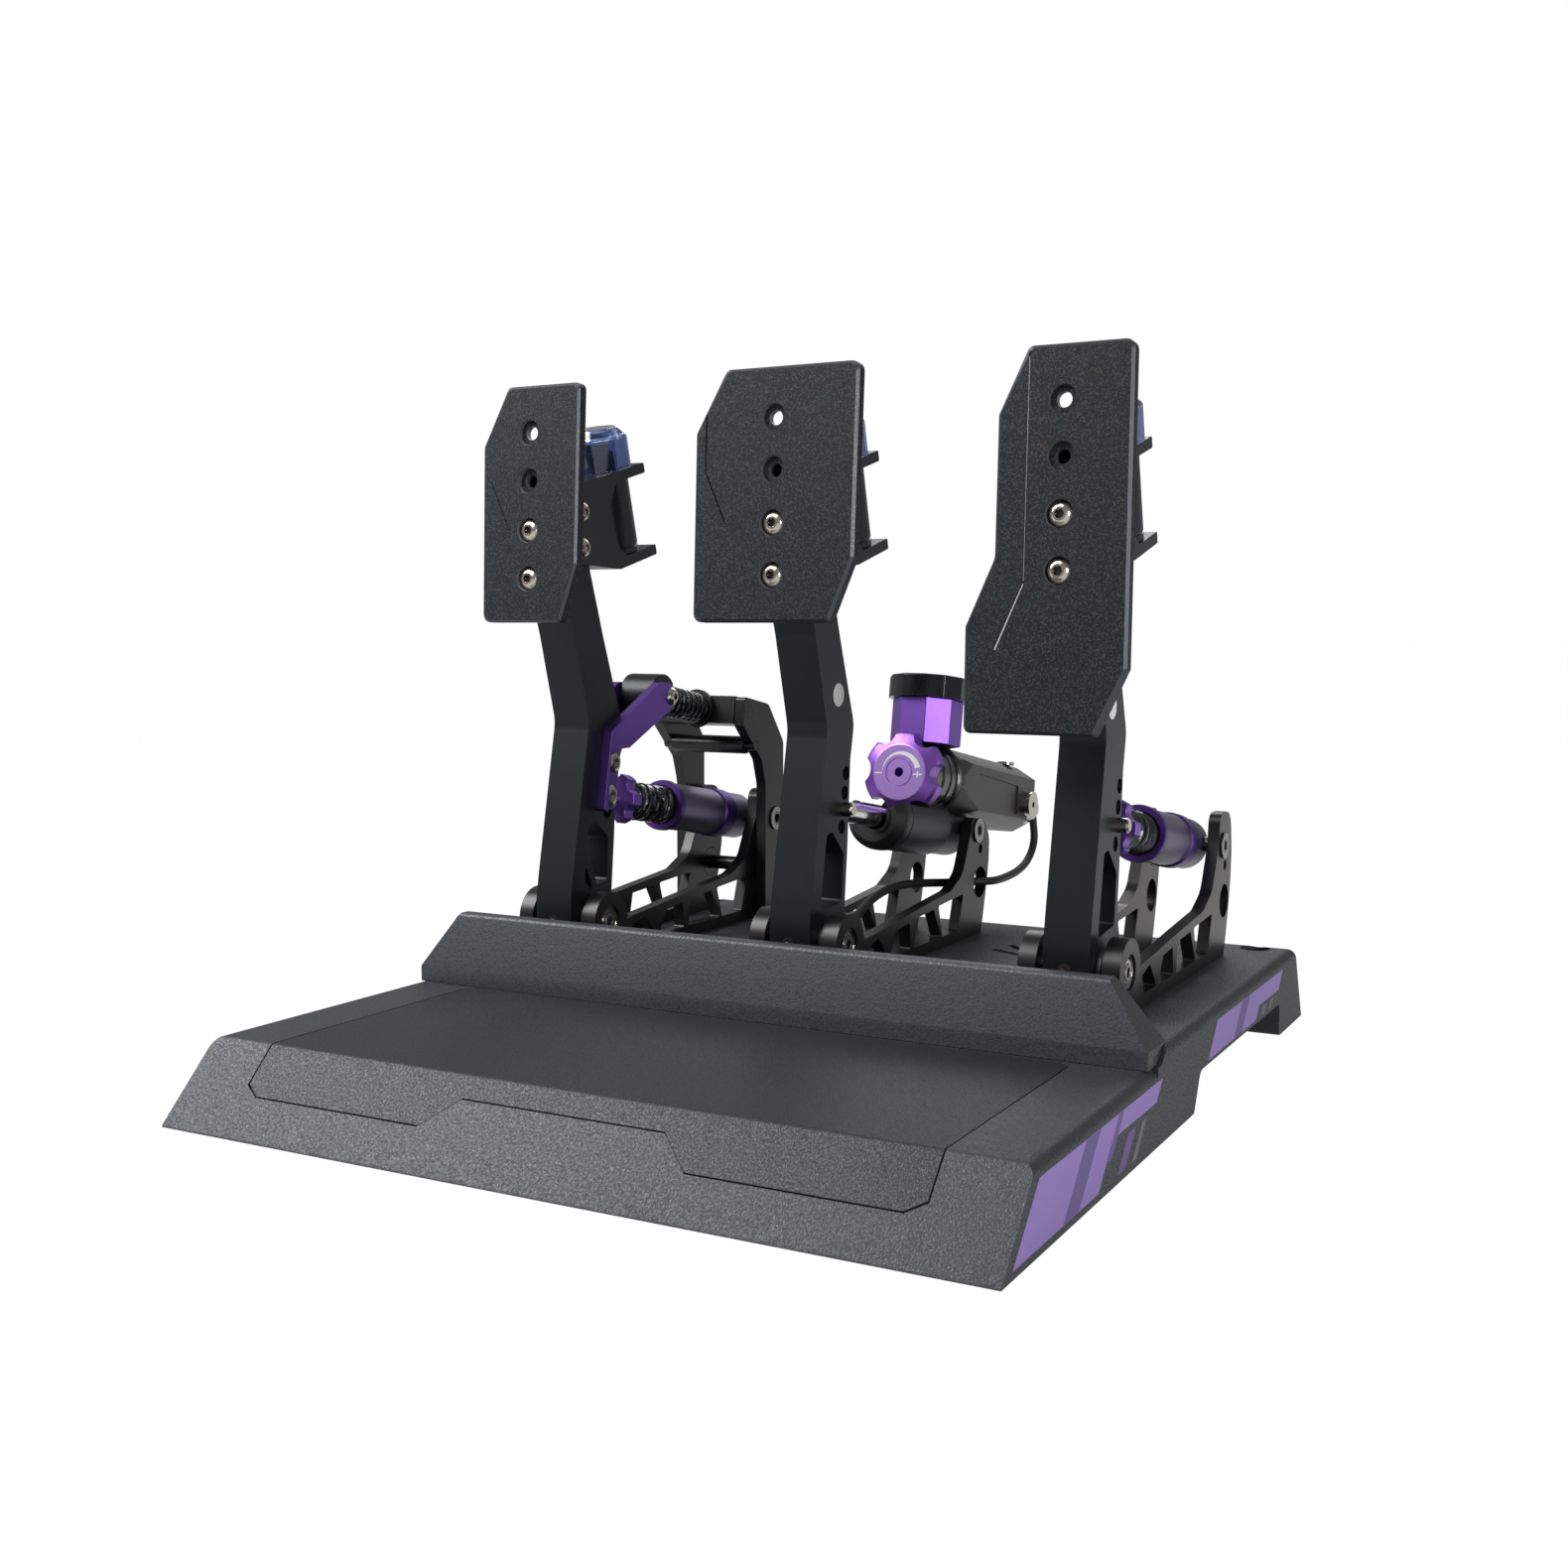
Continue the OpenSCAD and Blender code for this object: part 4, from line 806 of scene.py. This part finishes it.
def flatOnKnob(name, bm):
    # drawn in x and y, thickened, then stood up on the knob's front
    thickened(bm, list(bm.faces), (0, 0, -knobSet["printDepth"] / 1000))
    front = unitMatrix("brake", knobSet["front"] - knobSet["proud"], knobSet["axis"])
    turn = front @ Matrix.Rotation(math.pi / 2, 4, "X")
    bmesh.ops.transform(bm, matrix=turn, verts=bm.verts)
    newPiece(name, finishMesh(name, bm), "pressure_knob", whitePrint)


arc = bmesh.new()
inner, thin, wide = [knobSet[key] / 1000 for key in ("inner", "thinOuter", "wideOuter")]
startAngle, endAngle = math.radians(knobSet["startAngle"]), math.radians(knobSet["endAngle"])
start = Vector((math.cos(startAngle), math.sin(startAngle), 0))
ends = [arc.verts.new(start * inner), arc.verts.new(start * thin)]
bmesh.ops.spin(arc, geom=ends + [arc.edges.new(ends)], cent=(0, 0, 0), axis=(0, 0, 1),
               angle=endAngle - startAngle, steps=knobSet["steps"])
for v in arc.verts:
    if v.co.length > (inner + thin) / 2:
        turned = (startAngle - math.atan2(v.co.y, v.co.x)) / (startAngle - endAngle)
        v.co = v.co.normalized() * (thin + (wide - thin) * max(0.0, turned))
flatOnKnob("knobArc", arc)

# the upright stroke of the plus sign lies a hair deeper than the level one
strokeStep = 0.00001
marks = bmesh.new()
for x, length, turn in knobSet["bars"]:
    size = Matrix.Diagonal((length / 1000, knobSet["barWidth"] / 1000, 1, 1))
    middle = Vector((x, -knobSet["barDrop"], 0)) / 1000
    middle.z = -strokeStep * turn / 90
    stroke = Matrix.Translation(middle) @ Matrix.Rotation(math.radians(turn), 4, "Z") @ size
    bmesh.ops.create_grid(marks, x_segments=1, y_segments=1, size=0.5, matrix=stroke)
flatOnKnob("knobMarks", marks)

# middles as depth and height, on the right side of the arms
stickerSet = dict(side=10.5, radius=5.5, thickness=0.1,
                  middles={"brake": (233.3, 176.0), "throttle": (229.3, 173.8)})
for lane, middle in stickerSet["middles"].items():
    spot = bmesh.new()
    bmesh.ops.create_circle(spot, segments=40, radius=stickerSet["radius"] / 1000, cap_ends=True)
    thickened(spot, list(spot.faces), (0, 0, stickerSet["thickness"] / 1000))
    onArm = Matrix.Translation(place(laneX[lane] + stickerSet["side"], *middle))
    bmesh.ops.transform(spot, matrix=onArm @ Matrix.Rotation(math.pi / 2, 4, "Y"), verts=spot.verts)
    newPiece(lane + "BlankSticker", finishMesh(lane + "BlankSticker", spot), lane + "_pedal",
             stickerFilm)

# a bright metal strip laid in the throttle face's engraved line is a painted highlight of the cut,
# widest in its last stretch:
# start, end and width, across and up on the face
lineGlintSet = dict(front=0.12, back=0.46, strips=[
    ((-14.6, 19.0), (-26.5, -8.3), 0.6),
    ((-14.6, 112.0), (-14.6, 20.0), 0.15),
])
lineGlint = bmesh.new()
front, back = lineGlintSet["front"], lineGlintSet["back"]
inward = facePoint("throttle", 0, back, 0) - facePoint("throttle", 0, front, 0)
# each strip is a painted highlight: bright metal laid in the groove where the cut catches the light
for start, end, width in lineGlintSet["strips"]:
    start, end = Vector(start), Vector(end)
    aside = (end - start).normalized().orthogonal() * width / 2
    outline = (start - aside, end - aside, end + aside, start + aside)
    corners = [lineGlint.verts.new(facePoint("throttle", p.x, front, p.y)) for p in outline]
    thickened(lineGlint, [lineGlint.faces.new(corners)], inward)
newPiece("throttleLineGlint", finishMesh("throttleLineGlint", lineGlint), "throttle_pedal",
         finishes["glintAluminium"])
print("panels, marks, stickers and cut line on")

# floor and light
lightSet = dict(
    # strength of the surroundings on the part, and as seen by the camera
    world=0.11, seen=1.0,
    # how white surroundings and floor are in the camera, in glossy parts and through clear ones
    worldShare=1.0, inGloss=0.20, floorShare=0.95, floorInGloss=0.6, inGlass=1.0,
    floorGlow=1.04, floorHalf=30.0,
    lamps=[
        # name, place in m, aims at, size, power
        ("topSoftbox", (-1.20, -0.62, 1.30), (0, -0.10, 0.10), 1.0, 40),
        ("keySoftbox", (-1.2, -1.5, 1.7), (0, -0.05, 0.25), 0.9, 18),
        ("sideSoftbox", (1.9, -1.1, 0.5), (0.05, 0, 0.18), 0.8, 26),
        ("faceSoftbox", (-0.10, -0.42, 0.78), (0.05, 0.0, 0.27), 0.5, 2.6),
        ("backSoftbox", (-0.3, 1.5, 1.3), (0, 0.1, 0.15), 1.0, 10),
    ],
)


def whiteWhereSeen(tree, share, inGloss, usual, white, output):
    # camera, glossy and transmission rays see the white shader, all others the usual one
    rays = tree.nodes.new("ShaderNodeLightPath")
    names = ("Is Camera Ray", "Is Glossy Ray", "Is Transmission Ray")
    seen, glossy, through = [Val(tree, rays.outputs[name]) for name in names]
    seen = (seen + glossy * inGloss + through * lightSet["inGlass"]).clamped() * share
    chooser = tree.nodes.new("ShaderNodeMixShader")
    tree.links.new(seen.socket, chooser.inputs["Fac"])
    tree.links.new(usual.outputs[0], chooser.inputs[1])
    tree.links.new(white.outputs[0], chooser.inputs[2])
    tree.links.new(chooser.outputs[0], output.inputs["Surface"])


world = bpy.data.worlds.new("studio")
world.use_nodes = True
scene.world = world
sky = world.node_tree
dim, white = sky.nodes["Background"], sky.nodes.new("ShaderNodeBackground")
for shader, strength in ((dim, lightSet["world"]), (white, lightSet["seen"])):
    shader.inputs["Strength"].default_value = strength
    shader.inputs["Color"].default_value = (1, 1, 1, 1)
whiteWhereSeen(sky, lightSet["worldShare"], lightSet["inGloss"], dim, white,
               sky.nodes["World Output"])

for name, at, aim, size, power in lightSet["lamps"]:
    lamp = bpy.data.lights.new(name, "AREA")
    lamp.shape = "SQUARE"
    lamp.size = size
    lamp.energy = power
    lampObject = bpy.data.objects.new(name, lamp)
    lampObject.location = at
    lampObject.rotation_euler = (Vector(aim) - Vector(at)).to_track_quat("-Z", "Y").to_euler()
    scene.collection.objects.link(lampObject)

floorFinish = Finish("floorWhite")
floorFinish.set(Base_Color=(0.45, 0.45, 0.45), Roughness=0.9)
glow = floorFinish.tree.nodes.new("ShaderNodeEmission")
glow.inputs["Color"].default_value = (1, 1, 1, 1)
glow.inputs["Strength"].default_value = lightSet["floorGlow"]
whiteWhereSeen(floorFinish.tree, lightSet["floorShare"], lightSet["floorInGloss"],
               floorFinish.shader, glow, floorFinish.output)
floorMesh = bmesh.new()
bmesh.ops.create_grid(floorMesh, x_segments=1, y_segments=1, size=lightSet["floorHalf"])
floor = bpy.data.objects.new("paleFloor", finishMesh("paleFloor", floorMesh))
floor.data.materials.append(floorFinish.material)
scene.collection.objects.link(floor)
print("stage set")
